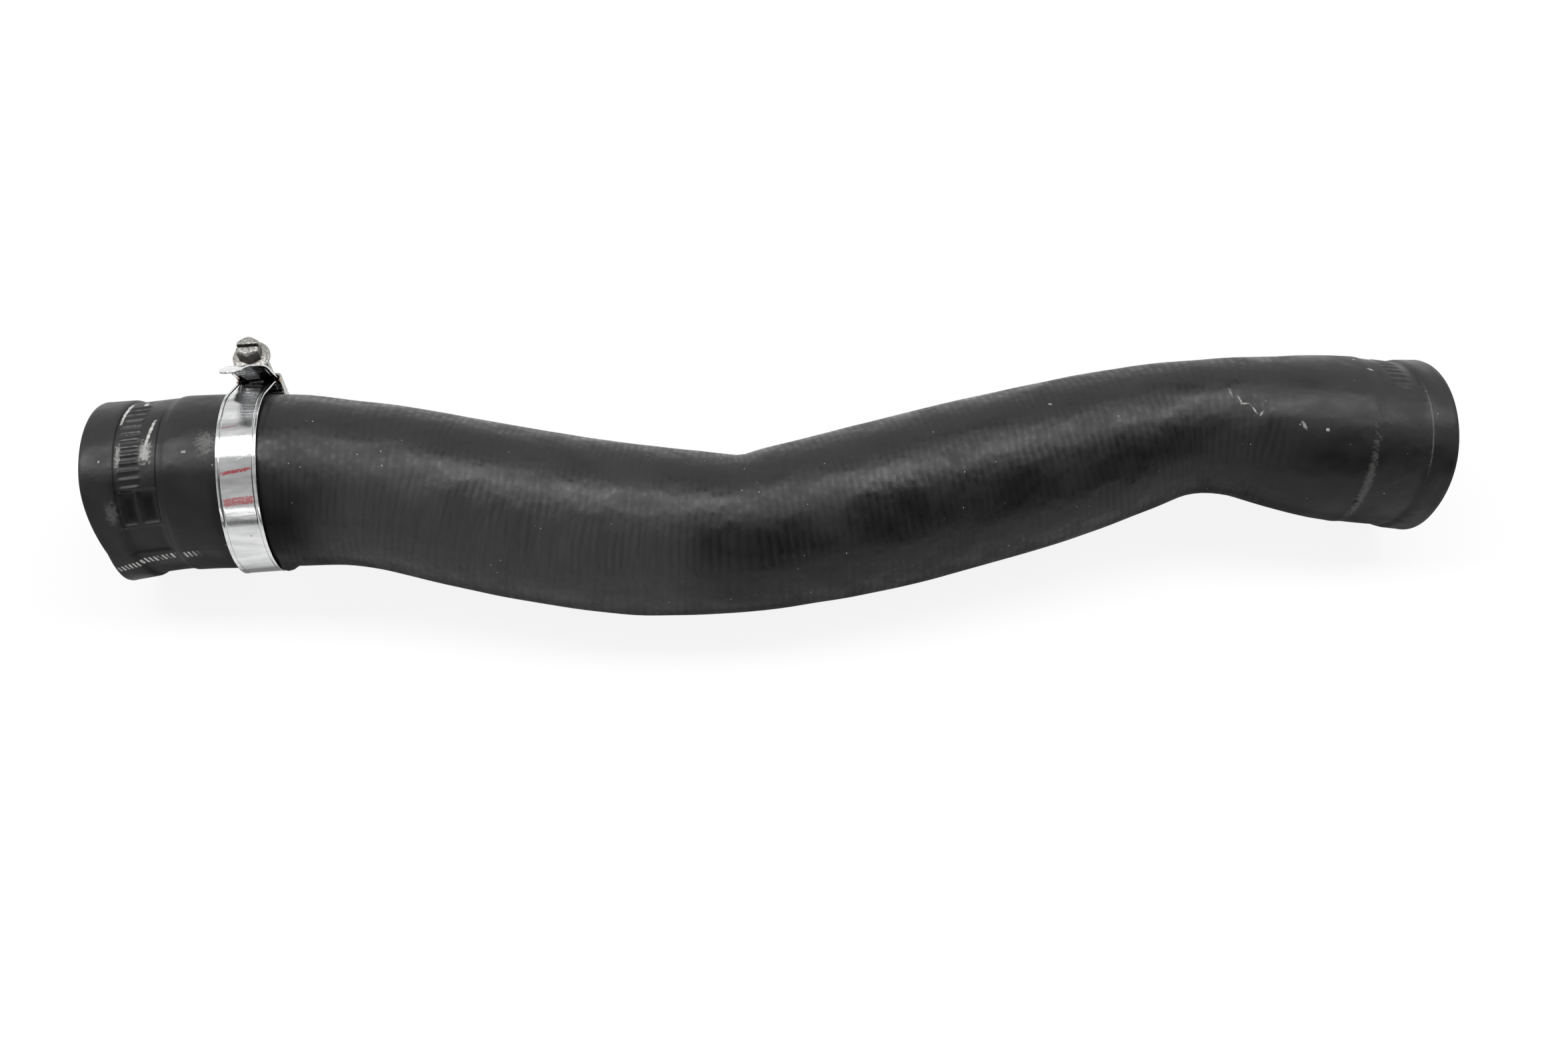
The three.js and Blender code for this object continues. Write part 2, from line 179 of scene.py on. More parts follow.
# Steps of the strip's mesh: along it where it is plain and where it is slotted, then across it,
# close together on the bead and its groove, counted from the edge, and even between them
PLAIN_ROW = 0.9
SLOTTED_ROW = 0.26
EDGE_COLUMNS = np.array([0, 0.08, 0.22, 0.4, 0.6, 0.8, 0.92, 1.03, 1.15, 1.27, 1.38, 1.5])
MIDDLE_START = 1.8
MIDDLE_COLUMNS = 25

# Worm screw
WORM_RADIUS = 3.7
WORM_ROOT = 2.8
WORM_TURNS = 7
CORE_SET_BACK = 0.2
WORM_SET_BACK = 1.2
WORM_AXIS = SLIDING_LAYER + BAND_THICKNESS / 2 + RUNNING_GAP + WORM_RADIUS
COLLAR_BOTTOM = TUNNEL_TOP + RUNNING_GAP
COLLAR_THICKNESS = 1.2
COLLAR_TOP = COLLAR_BOTTOM + COLLAR_THICKNESS
COLLAR_RADIUS = 6.1
HEAD_ACROSS_FLATS = 7
HEAD_HEIGHT = 5.6
HEAD_FLAT_RADIUS = 3.1
HEAD_CHAMFER = 35
HEAD_EDGE_BREAK = 0.1
DRIVER_SLOT_WIDTH = 1.3
DRIVER_SLOT_DEPTH = 1.7
SAW_LENGTH = 12

# Screens round the studio: degrees over the hose from the horizon behind, half width, strength
SCREENS = [(31, 7, 1.4), (48, 5, 0.62), (124, 9, 0.5), (144, 7, 0.75), (177, 5, 0.18)]


def smooth_line(points, steps):
    """Points on a centripetal Catmull-Rom curve through the given ones."""
    points = np.array(points, float)
    ends = np.vstack([2 * points[0] - points[1], points, 2 * points[-1] - points[-2]])
    stretches = []
    share = np.arange(steps)[:, None] / steps
    for before, start, end, after in zip(ends, ends[1:], ends[2:], ends[3:]):
        first, middle, last = [np.linalg.norm(b - a) ** 0.5
                               for a, b in ((before, start), (start, end), (end, after))]
        leave = middle * ((start - before) / first - (end - before) / (first + middle)
                          + (end - start) / middle)
        arrive = middle * ((end - start) / middle - (after - start) / (middle + last)
                           + (after - end) / last)
        square = 3 * (end - start) - 2 * leave - arrive
        cube = 2 * (start - end) + leave + arrive
        stretches.append(start + leave * share + square * share ** 2 + cube * share ** 3)
    return np.vstack(stretches + [points[-1:]])


class Centreline:
    """The hose's middle line, with square axes at each distance from the left face."""

    def __init__(self, route):
        self.points = smooth_line(route, steps=60)
        steps = np.linalg.norm(np.diff(self.points, axis=0), axis=1)
        self.distances = np.concatenate([[0], np.cumsum(steps)])
        self.length = self.distances[-1]
        self.tangents = np.gradient(self.points, self.distances, axis=0)

    def at(self, distance):
        """Place, and directions along, across and up, for an array of distances."""
        place, along = [
            np.stack([np.interp(distance, self.distances, values[:, k]) for k in range(3)], -1)
            for values in (self.points, self.tangents)]
        along /= np.linalg.norm(along, axis=-1, keepdims=True)
        across = np.cross([0, 0, 1], along)
        across /= np.linalg.norm(across, axis=-1, keepdims=True)
        return place, along, across, np.cross(along, across)


def bump_at(value, middle, half_width, edge):
    """1 inside a window, falling smoothly to 0 over its edge."""
    share = np.clip((half_width + edge / 2 - np.abs(value - middle)) / edge, 0, 1)
    return share * share * (3 - 2 * share)


def from_left(distance, length):
    """A distance from the left face, where a negative one is counted from the right face."""
    return distance if distance > 0 else length + distance


def hose_profile(length):
    """Outer profile from face to face: distance, radius."""
    seat_start = CLAMP_DISTANCE - BAND_WIDTH / 2
    groove_end = LEFT_GROOVE_START + BAND_WIDTH
    right_groove_end = length - RIGHT_GROOVE_START
    right_groove_start = right_groove_end - BAND_WIDTH
    left = [
        (0, LEFT_RIM), (LEFT_GROOVE_START - GROOVE_FLANK, LEFT_LIP), (LEFT_GROOVE_START, LEFT_GROOVE),
        (groove_end, LEFT_GROOVE), (groove_end + GROOVE_FLANK, LEFT_SHOULDER),
        (seat_start - GROOVE_FLANK, LEFT_SHOULDER), (seat_start, CLAMP_SEAT),
        (seat_start + BAND_WIDTH, CLAMP_SEAT),
    ]
    body = [(distance, diameter / 2) for distance, diameter in smooth_line(BODY_DIAMETERS, steps=8)]
    right = [
        (right_groove_start - 2 * GROOVE_FLANK, RIGHT_SHOULDER), (right_groove_start, RIGHT_GROOVE),
        (right_groove_end, RIGHT_GROOVE), (right_groove_end + GROOVE_FLANK, RIGHT_LIP), (length, RIGHT_RIM),
    ]
    return np.array(left + body + right)


def outer_radius(profile, distance):
    """The profile with its corners eased, as moulded rubber has them."""
    shifts = np.linspace(-CORNER_EASE, CORNER_EASE, 5)
    return np.mean([np.interp(distance + shift, profile[:, 0], profile[:, 1]) for shift in shifts], axis=0)


def inner_radius(profile, distance, length):
    """The bore: straight in both cuffs, and along the body the outside less the wall."""
    body = outer_radius(profile, distance) - HOSE_WALL
    right_depth = RIGHT_GROOVE_START + BAND_WIDTH
    left = 1 - bump_at(distance, 0, BORE_DEPTH + LEFT_BORE_EASE / 2, LEFT_BORE_EASE)
    right = 1 - bump_at(distance, length, right_depth + RIGHT_BORE_EASE / 2, RIGHT_BORE_EASE)
    straight = np.where(distance < length / 2, LEFT_BORE / 2, RIGHT_BORE / 2)
    share = left * right
    return straight * (1 - share) + body * share


def surface_marks(distance, angle, length):
    """What clamps and handling left on the rubber, as a height."""
    height = np.zeros_like(distance)
    for count, first, rise, middle, half_length, half_width, fade in RIDGE_ROWS:
        row = bump_at(distance, from_left(middle, length), half_length, RIDGE_END_FADE)
        for ridge in range(count):
            height += rise * row * bump_at(angle, first + RIDGE_PITCH * ridge, half_width, fade)
    housing = bump_at(distance, *HOUSING_PRINT_LENGTH) * bump_at(angle, *HOUSING_PRINT_SPREAD)
    height -= housing * (HOUSING_PRINT_DEPTH - HOUSING_RIB_RISE * bump_at(distance, *HOUSING_RIB_LENGTH))
    for rise, middle, half_length, fade, turn, half_spread, turn_fade in PRESSED_MARKS:
        height += (rise * bump_at(distance, from_left(middle, length), half_length, fade)
                   * bump_at(angle, turn, half_spread, turn_fade))
    return height


def uneven(distance, angle):
    """Slow unevenness of a hand-built hose: waves round it, and along it 14 to 60 mm long."""
    rng = np.random.default_rng(UNEVEN_SEED)
    height = np.zeros_like(distance)
    count = 26
    for _ in range(count):
        waves = rng.integers(1, 7)
        pitch = rng.uniform(14, 60)
        phase = rng.uniform(0, 2 * math.pi, 2)
        round_it = np.cos(np.radians(angle) * waves + phase[0])
        height += round_it * np.cos(2 * math.pi * distance / pitch + phase[1])
    return height / count


def spun_profile(outline, turns):
    """A bmesh turned from a closed outline of (radius, height) about Z."""
    shape = bmesh.new()
    verts = [shape.verts.new((radius, 0, height)) for radius, height in outline]
    edges = [shape.edges.new(pair) for pair in zip(verts, verts[1:] + verts[:1])]
    bmesh.ops.spin(shape, geom=verts + edges, cent=(0, 0, 0), axis=(0, 0, 1), dvec=(0, 0, 0),
                   angle=2 * math.pi, steps=turns, use_merge=True, use_normal_flip=False,
                   use_duplicate=False)
    bmesh.ops.remove_doubles(shape, verts=shape.verts, dist=1e-5)
    bmesh.ops.recalc_face_normals(shape, faces=shape.faces)
    return shape


def finish_piece(shape, name, material, body, replaced):
    """Turns a bmesh in millimetres into a piece in metres that stands for a node."""
    mesh = bpy.data.meshes.new(name)
    shape.to_mesh(mesh)
    shape.free()
    mesh.transform(Matrix.Scale(MM, 4))
    for polygon in mesh.polygons:
        polygon.use_smooth = True
    mesh.materials.append(material)
    piece = bpy.data.objects.new(name, mesh)
    bpy.context.scene.collection.objects.link(piece)
    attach(piece, body)
    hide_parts(replaced)
    return piece


def read_places(mesh):
    """The places of a mesh's vertices, as rows of an array."""
    places = np.zeros(len(mesh.vertices) * 3, np.float32)
    mesh.vertices.foreach_get("co", places)
    return places.reshape(-1, 3).astype(float)


def store_vector(mesh, name, values):
    """A vector on every vertex, in millimetres, for the materials to read."""
    attribute = mesh.attributes.new(name, "FLOAT_VECTOR", "POINT")
    attribute.data.foreach_set("vector", values.astype(np.float32).ravel())


def station_line(length):
    """Distances of the rings along the outside."""
    last = length - RIM_ROUND
    starts = [from_left(start, length) for start, _ in RING_STEPS] + [last]
    stretches = [np.linspace(start, end, round((end - start) / step), endpoint=False)
                 for (_, step), start, end in zip(RING_STEPS, starts, starts[1:])]
    return np.concatenate(stretches + [[last]])


def rim_round(radius, face, outward):
    """A rounded corner between a wall and an end face: radius, distance."""
    side = 1 if outward else -1
    away = -1 if face == 0 else 1
    centre = radius - RIM_ROUND * side
    inner = RIM_ROUND if face == 0 else face - RIM_ROUND
    return [(centre + side * RIM_ROUND * math.cos(turn), inner + away * RIM_ROUND * math.sin(turn))
            for turn in np.radians([90, 60, 30, 0])]


def moulded_hose(line, material):
    """The hose: a wall turned straight, given its marks and then bent along the centreline."""
    length = line.length
    profile = hose_profile(length)
    stations = station_line(length)
    outside = list(zip(outer_radius(profile, stations), stations))
    bore_stations = np.arange(RIM_ROUND, length - RIM_ROUND, BORE_STEP)[1:]
    bore = list(zip(inner_radius(profile, bore_stations, length), bore_stations))
    left_out = rim_round(LEFT_RIM, 0, True)
    left_in = rim_round(LEFT_BORE / 2, 0, False)
    right_out = rim_round(RIGHT_RIM, length, True)
    right_in = rim_round(RIGHT_BORE / 2, length, False)
    outline = left_out + outside[1:-1] + right_out[::-1] + right_in + bore[::-1] + left_in[::-1]
    shape = spun_profile(outline, AROUND_HOSE)
    piece = finish_piece(shape, "rubber_hose", material, "hose", "hose_body")
    places = read_places(piece.data) / MM
    distance = places[:, 2]
    radius = np.hypot(places[:, 0], places[:, 1])
    turn = np.arctan2(places[:, 0], places[:, 1])
    angle = np.degrees(turn)
    mid_wall = (outer_radius(profile, distance) + inner_radius(profile, distance, length)) / 2
    outside_share = np.clip((radius - mid_wall) / (HOSE_WALL / 3), 0, 1)
    between_faces = bump_at(distance, length / 2, length / 2 - 3, 4)
    radius = radius + outside_share * (surface_marks(distance, angle, length)
                                       + UNEVEN_HEIGHT * between_faces * uneven(distance, angle))
    straight = np.stack([distance, radius * np.sin(turn), radius * np.cos(turn)], -1)

    def trim(cut, from_face):
        depth, middle, half_spread, fade, reach = cut
        return depth * bump_at(angle, middle, half_spread, fade) * np.clip(1 - from_face / reach, 0, 1)

    trimmed = distance + trim(LEFT_TRIM, distance) - trim(RIGHT_TRIM, length - distance)
    place, _, across, up = line.at(trimmed)
    bent = place - across * straight[:, 1:2] + up * straight[:, 2:3]
    piece.data.vertices.foreach_set("co", (bent * MM).astype(np.float32).ravel())
    piece.data.update()
    store_vector(piece.data, "moulded", straight)
    return piece


def clamp_axes(line):
    """The clamp's place on the hose: its middle, and its own three axes."""
    place, along, across, up = [Vector(row[0]) for row in line.at(np.array([CLAMP_DISTANCE]))]
    seat = Matrix((along, across, up)).transposed()
    turned = seat @ Matrix.Rotation(math.radians(CLAMP_YAW), 3, "Z")
    turned = turned @ Matrix.Rotation(math.radians(-CLAMP_LEAN), 3, "Y")
    return np.array(place), np.array(turned)


def set_in_place(piece, axes):
    """Moves a piece made on the clamp's own axes to its place, and keeps the first places to read."""
    origin, turned = axes
    formed = read_places(piece.data) / MM
    places = (origin + formed @ turned.T) * MM
    piece.data.vertices.foreach_set("co", places.astype(np.float32).ravel())
    piece.data.update()
    return formed


def curve_to(points, corner, end, steps=8):
    """Adds a bend to a path, drawn towards its corner."""
    start = points[-1]
    for share in np.linspace(0, 1, steps + 1)[1:]:
        points.append((1 - share) ** 2 * start + 2 * share * (1 - share) * corner + share ** 2 * end)


def tangent_point(corner, side):
    """Where the ring leaves its circle on the straight run to a corner at the housing."""
    angle = math.atan2(corner[1], corner[0]) + side * math.acos(RING_RADIUS / np.linalg.norm(corner))
    return RING_RADIUS * np.array([math.cos(angle), math.sin(angle)])


def strip_path():
    """Middle line of the strip: from its fixed end, once round the hose and out to the tip."""
    upper = np.array([FIXED_LAYER, HOUSING_TOP + RUNNING_GAP])
    lower = np.array([SLIDING_LAYER, HOUSING_BOTTOM - BEND_LENGTH])
    leave = tangent_point(upper, 1)
    arrive = tangent_point(lower, -1)
    downward = (arrive - lower) / np.linalg.norm(arrive - lower)
    bend = math.atan2(-downward[0], -downward[1])
    fixed_corner = np.array([FIXED_LAYER, lower[1] + (SLIDING_LAYER - FIXED_LAYER) * math.tan(bend / 2)])
    rise = np.array([0, BEND_LENGTH])
    points = [fixed_corner + FIXED_END_REACH * downward]
    curve_to(points, fixed_corner, fixed_corner + rise)
    points.append(upper - rise)
    curve_to(points, upper, upper + BEND_LENGTH * (leave - upper) / np.linalg.norm(leave - upper))
    start = math.atan2(leave[1], leave[0])
    end = math.atan2(arrive[1], arrive[0]) + 2 * math.pi
    points += [RING_RADIUS * np.array([math.cos(turn), math.sin(turn)])
               for turn in np.linspace(start, end, 240)]
    points.append(lower + BEND_LENGTH * downward)
    curve_to(points, lower, lower + rise)
    tail = [(SLIDING_LAYER, HOUSING_TOP)] + [(SLIDING_LAYER + y, HOUSING_TOP + z) for y, z in TAIL_BENDS]
    points += list(smooth_line(tail, steps=12))
    return np.array(points)


def strip_half_width(from_tip):
    """Half the strip's width: a rounded tongue, then a shoulder that opens to the full strip."""
    half = TONGUE_WIDTH / 2
    tip = half * np.sqrt(np.clip(1 - (1 - np.clip(from_tip, 0.02, half) / half) ** 2, 0, 1))
    opening = np.clip((from_tip - TONGUE_LENGTH) / TONGUE_SHOULDER, 0, 1)
    return tip + (BAND_WIDTH / 2 - half) * opening * opening * (3 - 2 * opening)


def strip_relief(across, from_tip, total):
    """How far the pressed strip stands off its flat face: beaded edges, slanted slots, slow waves."""
    from_edge = BAND_WIDTH / 2 - np.abs(across)
    beads = BEAD_HEIGHT * bump_at(from_edge, 0.35, 0.5, 0.6)
    beads -= EDGE_GROOVE_DEPTH * bump_at(from_edge, EDGE_GROOVE, 0.1, 0.4)
    beads *= np.clip((from_tip - TONGUE_LENGTH - TONGUE_SHOULDER) / 4, 0, 1)
    slant = (across - THREAD_OFFSET) * math.tan(math.radians(SLOT_SLANT))
    count = (from_tip + slant - FIRST_SLOT) / SLOT_PITCH
    within = (np.round(count) >= 0) & (np.round(count) <= SLOT_COUNT - 1)
    slot = bump_at((count - np.round(count)) * SLOT_PITCH, 0, 0.34, 0.36)
    slot = slot * within * bump_at(across, THREAD_OFFSET, SLOT_LENGTH / 2, 0.7)
    along = total - from_tip
    # Waves 19 and 7.3 mm long, left by rolling and by hand
    ripple = 0.05 * np.sin(2 * math.pi * along / 19.0 + 0.6) + 0.03 * np.sin(2 * math.pi * along / 7.3)
    return beads - SLOT_DEPTH * slot + ripple * bump_at(along, total / 2, total / 2 - 50, 20)


def clamp_strip(axes, material):
    """The strip: a flat blank, pressed with its thread, then rolled along its path."""
    path = strip_path()
    steps = np.linalg.norm(np.diff(path, axis=0), axis=1)
    reach = np.concatenate([[0], np.cumsum(steps)])
    keep = np.concatenate([[True], steps > 1e-6])
    path, reach = path[keep], reach[keep]
    total = reach[-1]
    slots_start = total - FIRST_SLOT - SLOT_COUNT * SLOT_PITCH
    rows = np.concatenate([np.arange(0, slots_start, PLAIN_ROW), np.arange(slots_start, total, SLOTTED_ROW),
                           [total]])
    half = BAND_WIDTH / 2
    middle = np.linspace(-half + MIDDLE_START, half - MIDDLE_START, MIDDLE_COLUMNS)
    columns = np.concatenate([EDGE_COLUMNS - half, middle, half - EDGE_COLUMNS[::-1]])
    blank = bmesh.new()
    bmesh.ops.create_grid(blank, x_segments=len(columns) - 1, y_segments=len(rows) - 1, size=1)
    bmesh.ops.solidify(blank, geom=blank.faces[:], thickness=BAND_THICKNESS)
    bmesh.ops.recalc_face_normals(blank, faces=blank.faces)
    piece = finish_piece(blank, "clamp_strip", material, "hose", "clamp_band")
    # The blank's vertices lie on an even grid, so each finds its own row and column there
    flat = read_places(piece.data) / MM
    column = np.clip(np.rint((flat[:, 0] + 1) / 2 * (len(columns) - 1)), 0, len(columns) - 1).astype(int)
    row = np.clip(np.rint((flat[:, 1] + 1) / 2 * (len(rows) - 1)), 0, len(rows) - 1).astype(int)
    along = rows[row]
    across = columns[column] * strip_half_width(total - along) / half
    side = np.where(flat[:, 2] > flat[:, 2].mean(), 0.5, -0.5)
    height = side * BAND_THICKNESS + strip_relief(across, total - along, total)
    tangents = np.gradient(path, reach, axis=0)
    tangents /= np.linalg.norm(tangents, axis=1, keepdims=True)
    on_path = np.stack([np.interp(along, reach, path[:, k]) for k in range(2)], -1)
    heading = np.stack([np.interp(along, reach, tangents[:, k]) for k in range(2)], -1)
    heading /= np.linalg.norm(heading, axis=1, keepdims=True)
    formed = np.stack([across, on_path[:, 0] + heading[:, 1] * height,
                       on_path[:, 1] - heading[:, 0] * height], -1)
    piece.data.vertices.foreach_set("co", (formed * MM).astype(np.float32).ravel())
    set_in_place(piece, axes)
    angle = np.degrees(np.arctan2(on_path[:, 1], on_path[:, 0])) % 360
    store_vector(piece.data, "rolled", np.stack([across, along, angle], -1))
    return piece


def arc_points(middle, radius, start, end, steps):
    """Points on an arc, from one angle to another in degrees."""
    return [(middle[0] + radius * math.cos(turn), middle[1] + radius * math.sin(turn))
            for turn in np.linspace(math.radians(start), math.radians(end), steps + 1)]


def housing_outline(offset):
    """Section of the folded sheet, grown by an offset: floor, right wall and roof, then the tunnel."""
    wall = BAND_WIDTH / 2 + RUNNING_GAP + offset
    roof = SLIDING_LAYER + BAND_THICKNESS / 2 + ROOF_GAP + offset
    floor = FLOOR_OUTSIDE - offset
    tunnel = WORM_RADIUS + RUNNING_GAP + offset
    fold = FOLD_RADIUS
    outline = arc_points((-wall + fold, floor + fold), fold, 180, 270, 4)
    outline += arc_points((wall - fold, floor + fold), fold, 270, 360, 4)
    outline += arc_points((wall - fold, roof - fold), fold, 0, 80, 4)
    outline += [(THREAD_OFFSET + tunnel + 0.9, roof + 0.3), (THREAD_OFFSET + tunnel + 0.3, roof + 0.9)]
    outline += arc_points((THREAD_OFFSET, WORM_AXIS), tunnel, -8, 180, 18)
    outline += [(-wall, WORM_AXIS - 2.0), (-wall, WORM_AXIS - 3.2)]
    return outline


def clamp_housing(axes, material):
    """The housing: sheet folded round the strip and over the worm, open at both ends."""
    shape = bmesh.new()
    inner = [shape.verts.new((x, y, HOUSING_BOTTOM)) for x, y in housing_outline(0)]
    outer = [shape.verts.new((x, y, HOUSING_BOTTOM)) for x, y in housing_outline(SHEET_THICKNESS)]
    count = len(inner)
    ring = [shape.faces.new((inner[i], inner[(i + 1) % count], outer[(i + 1) % count], outer[i]))
            for i in range(count)]
    bmesh.ops.recalc_face_normals(shape, faces=ring)

    def raise_faces(faces, height):
        made = bmesh.ops.extrude_face_region(shape, geom=faces)["geom"]
        verts = [g for g in made if isinstance(g, bmesh.types.BMVert)]
        bmesh.ops.translate(shape, verts=verts, vec=(0, 0, height))
        return [g for g in made if isinstance(g, bmesh.types.BMFace)]

    def further_out(faces, least):
        return [f for f in faces if f.calc_center_median().y >= least]

    # The floor ends first, then the walls and the roof, and the tunnel over the worm goes on to the collar
    top = raise_faces(ring, HOUSING_TOP - FLOOR_SET_BACK - HOUSING_BOTTOM)
    top = raise_faces(further_out(top, FLOOR_OUTSIDE + 0.3), FLOOR_SET_BACK)
    raise_faces(further_out(top, WORM_AXIS - 0.3), TUNNEL_TOP - HOUSING_TOP)
    bmesh.ops.recalc_face_normals(shape, faces=shape.faces)
    sharp = [e for e in shape.edges if len(e.link_faces) == 2 and e.calc_face_angle() > math.radians(50)]
    bmesh.ops.bevel(shape, geom=sharp, offset=SHEET_EDGE_BREAK, offset_type="OFFSET", segments=2,
                    profile=0.5, affect="EDGES", material=-1)
    piece = finish_piece(shape, "folded_housing", material, "hose", "clamp_housing")
    store_vector(piece.data, "formed", set_in_place(piece, axes))
    return piece


def worm_thread(shape):
    """The worm: one ridge wound round its core, with a right-hand twist."""
    steps = 28
    start = HOUSING_BOTTOM + WORM_SET_BACK
    foot = WORM_ROOT - 0.1
    ridge = [(foot, -0.72), (WORM_RADIUS, -0.3), (WORM_RADIUS, 0.3), (foot, 0.72)]
    verts = [shape.verts.new((radius, 0, start + height)) for radius, height in ridge]
    section = shape.faces.new(verts)
    bmesh.ops.spin(shape, geom=[section] + section.edges[:] + verts, cent=(0, 0, 0), axis=(0, 0, 1),
                   dvec=(0, 0, SLOT_PITCH / steps), angle=2 * math.pi * WORM_TURNS,
                   steps=WORM_TURNS * steps, use_merge=False, use_normal_flip=False, use_duplicate=False)


def turned_core():
    """Outline of the core, neck and collar: radius, height."""
    start = HOUSING_BOTTOM + CORE_SET_BACK
    rim = COLLAR_RADIUS
    # The core's point, the roundings under and over the collar's rim, and a low step under the head
    point, under, over = 0.6, 0.35, 0.45
    outline = [(0, start), (WORM_ROOT - point, start), (WORM_ROOT, start + point)]
    outline += [(WORM_ROOT, COLLAR_BOTTOM), (rim - under, COLLAR_BOTTOM)]
    outline += arc_points((rim - under, COLLAR_BOTTOM + under), under, -90, 0, 4)[1:]
    outline += arc_points((rim - over, COLLAR_TOP - over), over, 0, 90, 4)
    outline += [(4.6, COLLAR_TOP + 0.05), (4.1, COLLAR_TOP + 0.35), (0, COLLAR_TOP + 0.35)]
    return outline


def hexagon_head(shape):
    """The head: a hexagon whose top is turned to a chamfer, so its flats end in arcs."""
    corner = HEAD_ACROSS_FLATS / math.sqrt(3)
    top = COLLAR_TOP + HEAD_HEIGHT
    side_steps = 10
    corners = [Vector((corner * math.sin(turn), corner * math.cos(turn), 0))
               for turn in np.radians(np.arange(6) * 60.0)]
    rim = [corners[i].lerp(corners[(i + 1) % 6], step / side_steps)
           for i in range(6) for step in range(side_steps)]
    slope = math.tan(math.radians(HEAD_CHAMFER))
    foot = [shape.verts.new((p.x, p.y, COLLAR_TOP)) for p in rim]
    edge = [shape.verts.new((p.x, p.y, top - (p.length - HEAD_FLAT_RADIUS) * slope)) for p in rim]
    flat = [shape.verts.new((*(p.normalized() * HEAD_FLAT_RADIUS).xy, top)) for p in rim]
    count = len(rim)
    for low, high in ((foot, edge), (edge, flat)):
        for i in range(count):
            shape.faces.new((low[i], low[(i + 1) % count], high[(i + 1) % count], high[i]))
    shape.faces.new(flat)
    shape.faces.new(foot)


def cut_driver_slot(piece):
    """Saws the screwdriver slot across the head, with a block longer than the head is wide."""
    saw = bmesh.new()
    bmesh.ops.create_cube(saw, size=1)
    blade = Vector((SAW_LENGTH, DRIVER_SLOT_WIDTH, 2 * DRIVER_SLOT_DEPTH)) * MM
    bmesh.ops.scale(saw, verts=saw.verts, vec=blade)
    bmesh.ops.translate(saw, verts=saw.verts, vec=(0, 0, (COLLAR_TOP + HEAD_HEIGHT) * MM))
    mesh = bpy.data.meshes.new("saw")
    saw.to_mesh(mesh)
    saw.free()
    tool = bpy.data.objects.new("saw", mesh)
    bpy.context.scene.collection.objects.link(tool)
    cut = piece.modifiers.new("driver_slot", "BOOLEAN")
    cut.object = tool
    cut.operation = "DIFFERENCE"
    cut.solver = "EXACT"
    cut.use_self = True
    bpy.context.view_layer.update()
    ready = piece.evaluated_get(bpy.context.evaluated_depsgraph_get())
    piece.data = bpy.data.meshes.new_from_object(ready)
    piece.modifiers.clear()
    bpy.data.objects.remove(tool)


def clamp_screw(axes, material):
    """The screw: worm, collar and slotted hexagon head, turned from one bar."""
    head = bmesh.new()
    hexagon_head(head)
    bmesh.ops.recalc_face_normals(head, faces=head.faces)
    piece = finish_piece(head, "worm_screw", material, "screw", "clamp_screw")
    cut_driver_slot(piece)
    shape = bmesh.new()
    shape.from_mesh(piece.data)
    bmesh.ops.scale(shape, verts=shape.verts, vec=(1 / MM, 1 / MM, 1 / MM))
    sharp = [e for e in shape.edges if len(e.link_faces) == 2 and e.calc_face_angle() > math.radians(25)]
    bmesh.ops.bevel(shape, geom=sharp, offset=HEAD_EDGE_BREAK, offset_type="OFFSET", segments=2,
                    profile=0.5, affect="EDGES", material=-1, clamp_overlap=True)
    core = spun_profile(turned_core(), 48)
    worm_thread(core)
    bmesh.ops.recalc_face_normals(core, faces=core.faces)
    turned = bpy.data.meshes.new("turned")
    core.to_mesh(turned)
    core.free()
    shape.from_mesh(turned)
    bpy.data.meshes.remove(turned)
    bmesh.ops.translate(shape, verts=shape.verts, vec=(THREAD_OFFSET, WORM_AXIS, 0))
    bmesh.ops.scale(shape, verts=shape.verts, vec=(MM, MM, MM))
    shape.to_mesh(piece.data)
    shape.free()
    for polygon in piece.data.polygons:
        polygon.use_smooth = True
    store_vector(piece.data, "formed", set_in_place(piece, axes))
    return piece


def route_in_frame(line):
    """The route, moved so that its hose stands where the frame's hose stands."""
    stations = np.linspace(0, line.length, 300)
    profile = hose_profile(line.length)
    place, _, across, up = line.at(stations)
    radius = outer_radius(profile, stations)[:, None]
    rings = [place + across * radius * math.cos(turn) + up * radius * math.sin(turn)
             for turn in np.linspace(0, 2 * math.pi, 72, endpoint=False)]
    cloud = np.vstack(rings)
    low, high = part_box("hose_body")
    middle = (np.array(low) + np.array(high)) / 2 / MM
    shift = middle - (cloud.min(0) + cloud.max(0)) / 2
    shift[2] = low.z / MM - cloud.min(0)[2]
    return [tuple(np.array(point) + shift) for point in ROUTE]


def hex_colour(code):
    """sRGB hex to the linear colour that a shader takes."""
    parts = [int(code[i:i + 2], 16) / 255 for i in (1, 3, 5)]
    return tuple(p / 12.92 if p <= 0.04045 else ((p + 0.055) / 1.055) ** 2.4 for p in parts) + (1,)


def add_node(tree, kind, inputs=None, **settings):
    """Adds a node with its settings, sets or links its inputs, and gives its outputs."""
    node = tree.nodes.new(kind)
    for key, value in settings.items():
        setattr(node, key, value)
    for key, value in (inputs or {}).items():
        if isinstance(value, bpy.types.NodeSocket):
            tree.links.new(value, node.inputs[key])
        else:
            node.inputs[key].default_value = value
    return node.outputs


def empty_tree(owner):
    """Node tree of a material or world, with nothing in it."""
    owner.use_nodes = True
    owner.node_tree.nodes.clear()
    return owner.node_tree


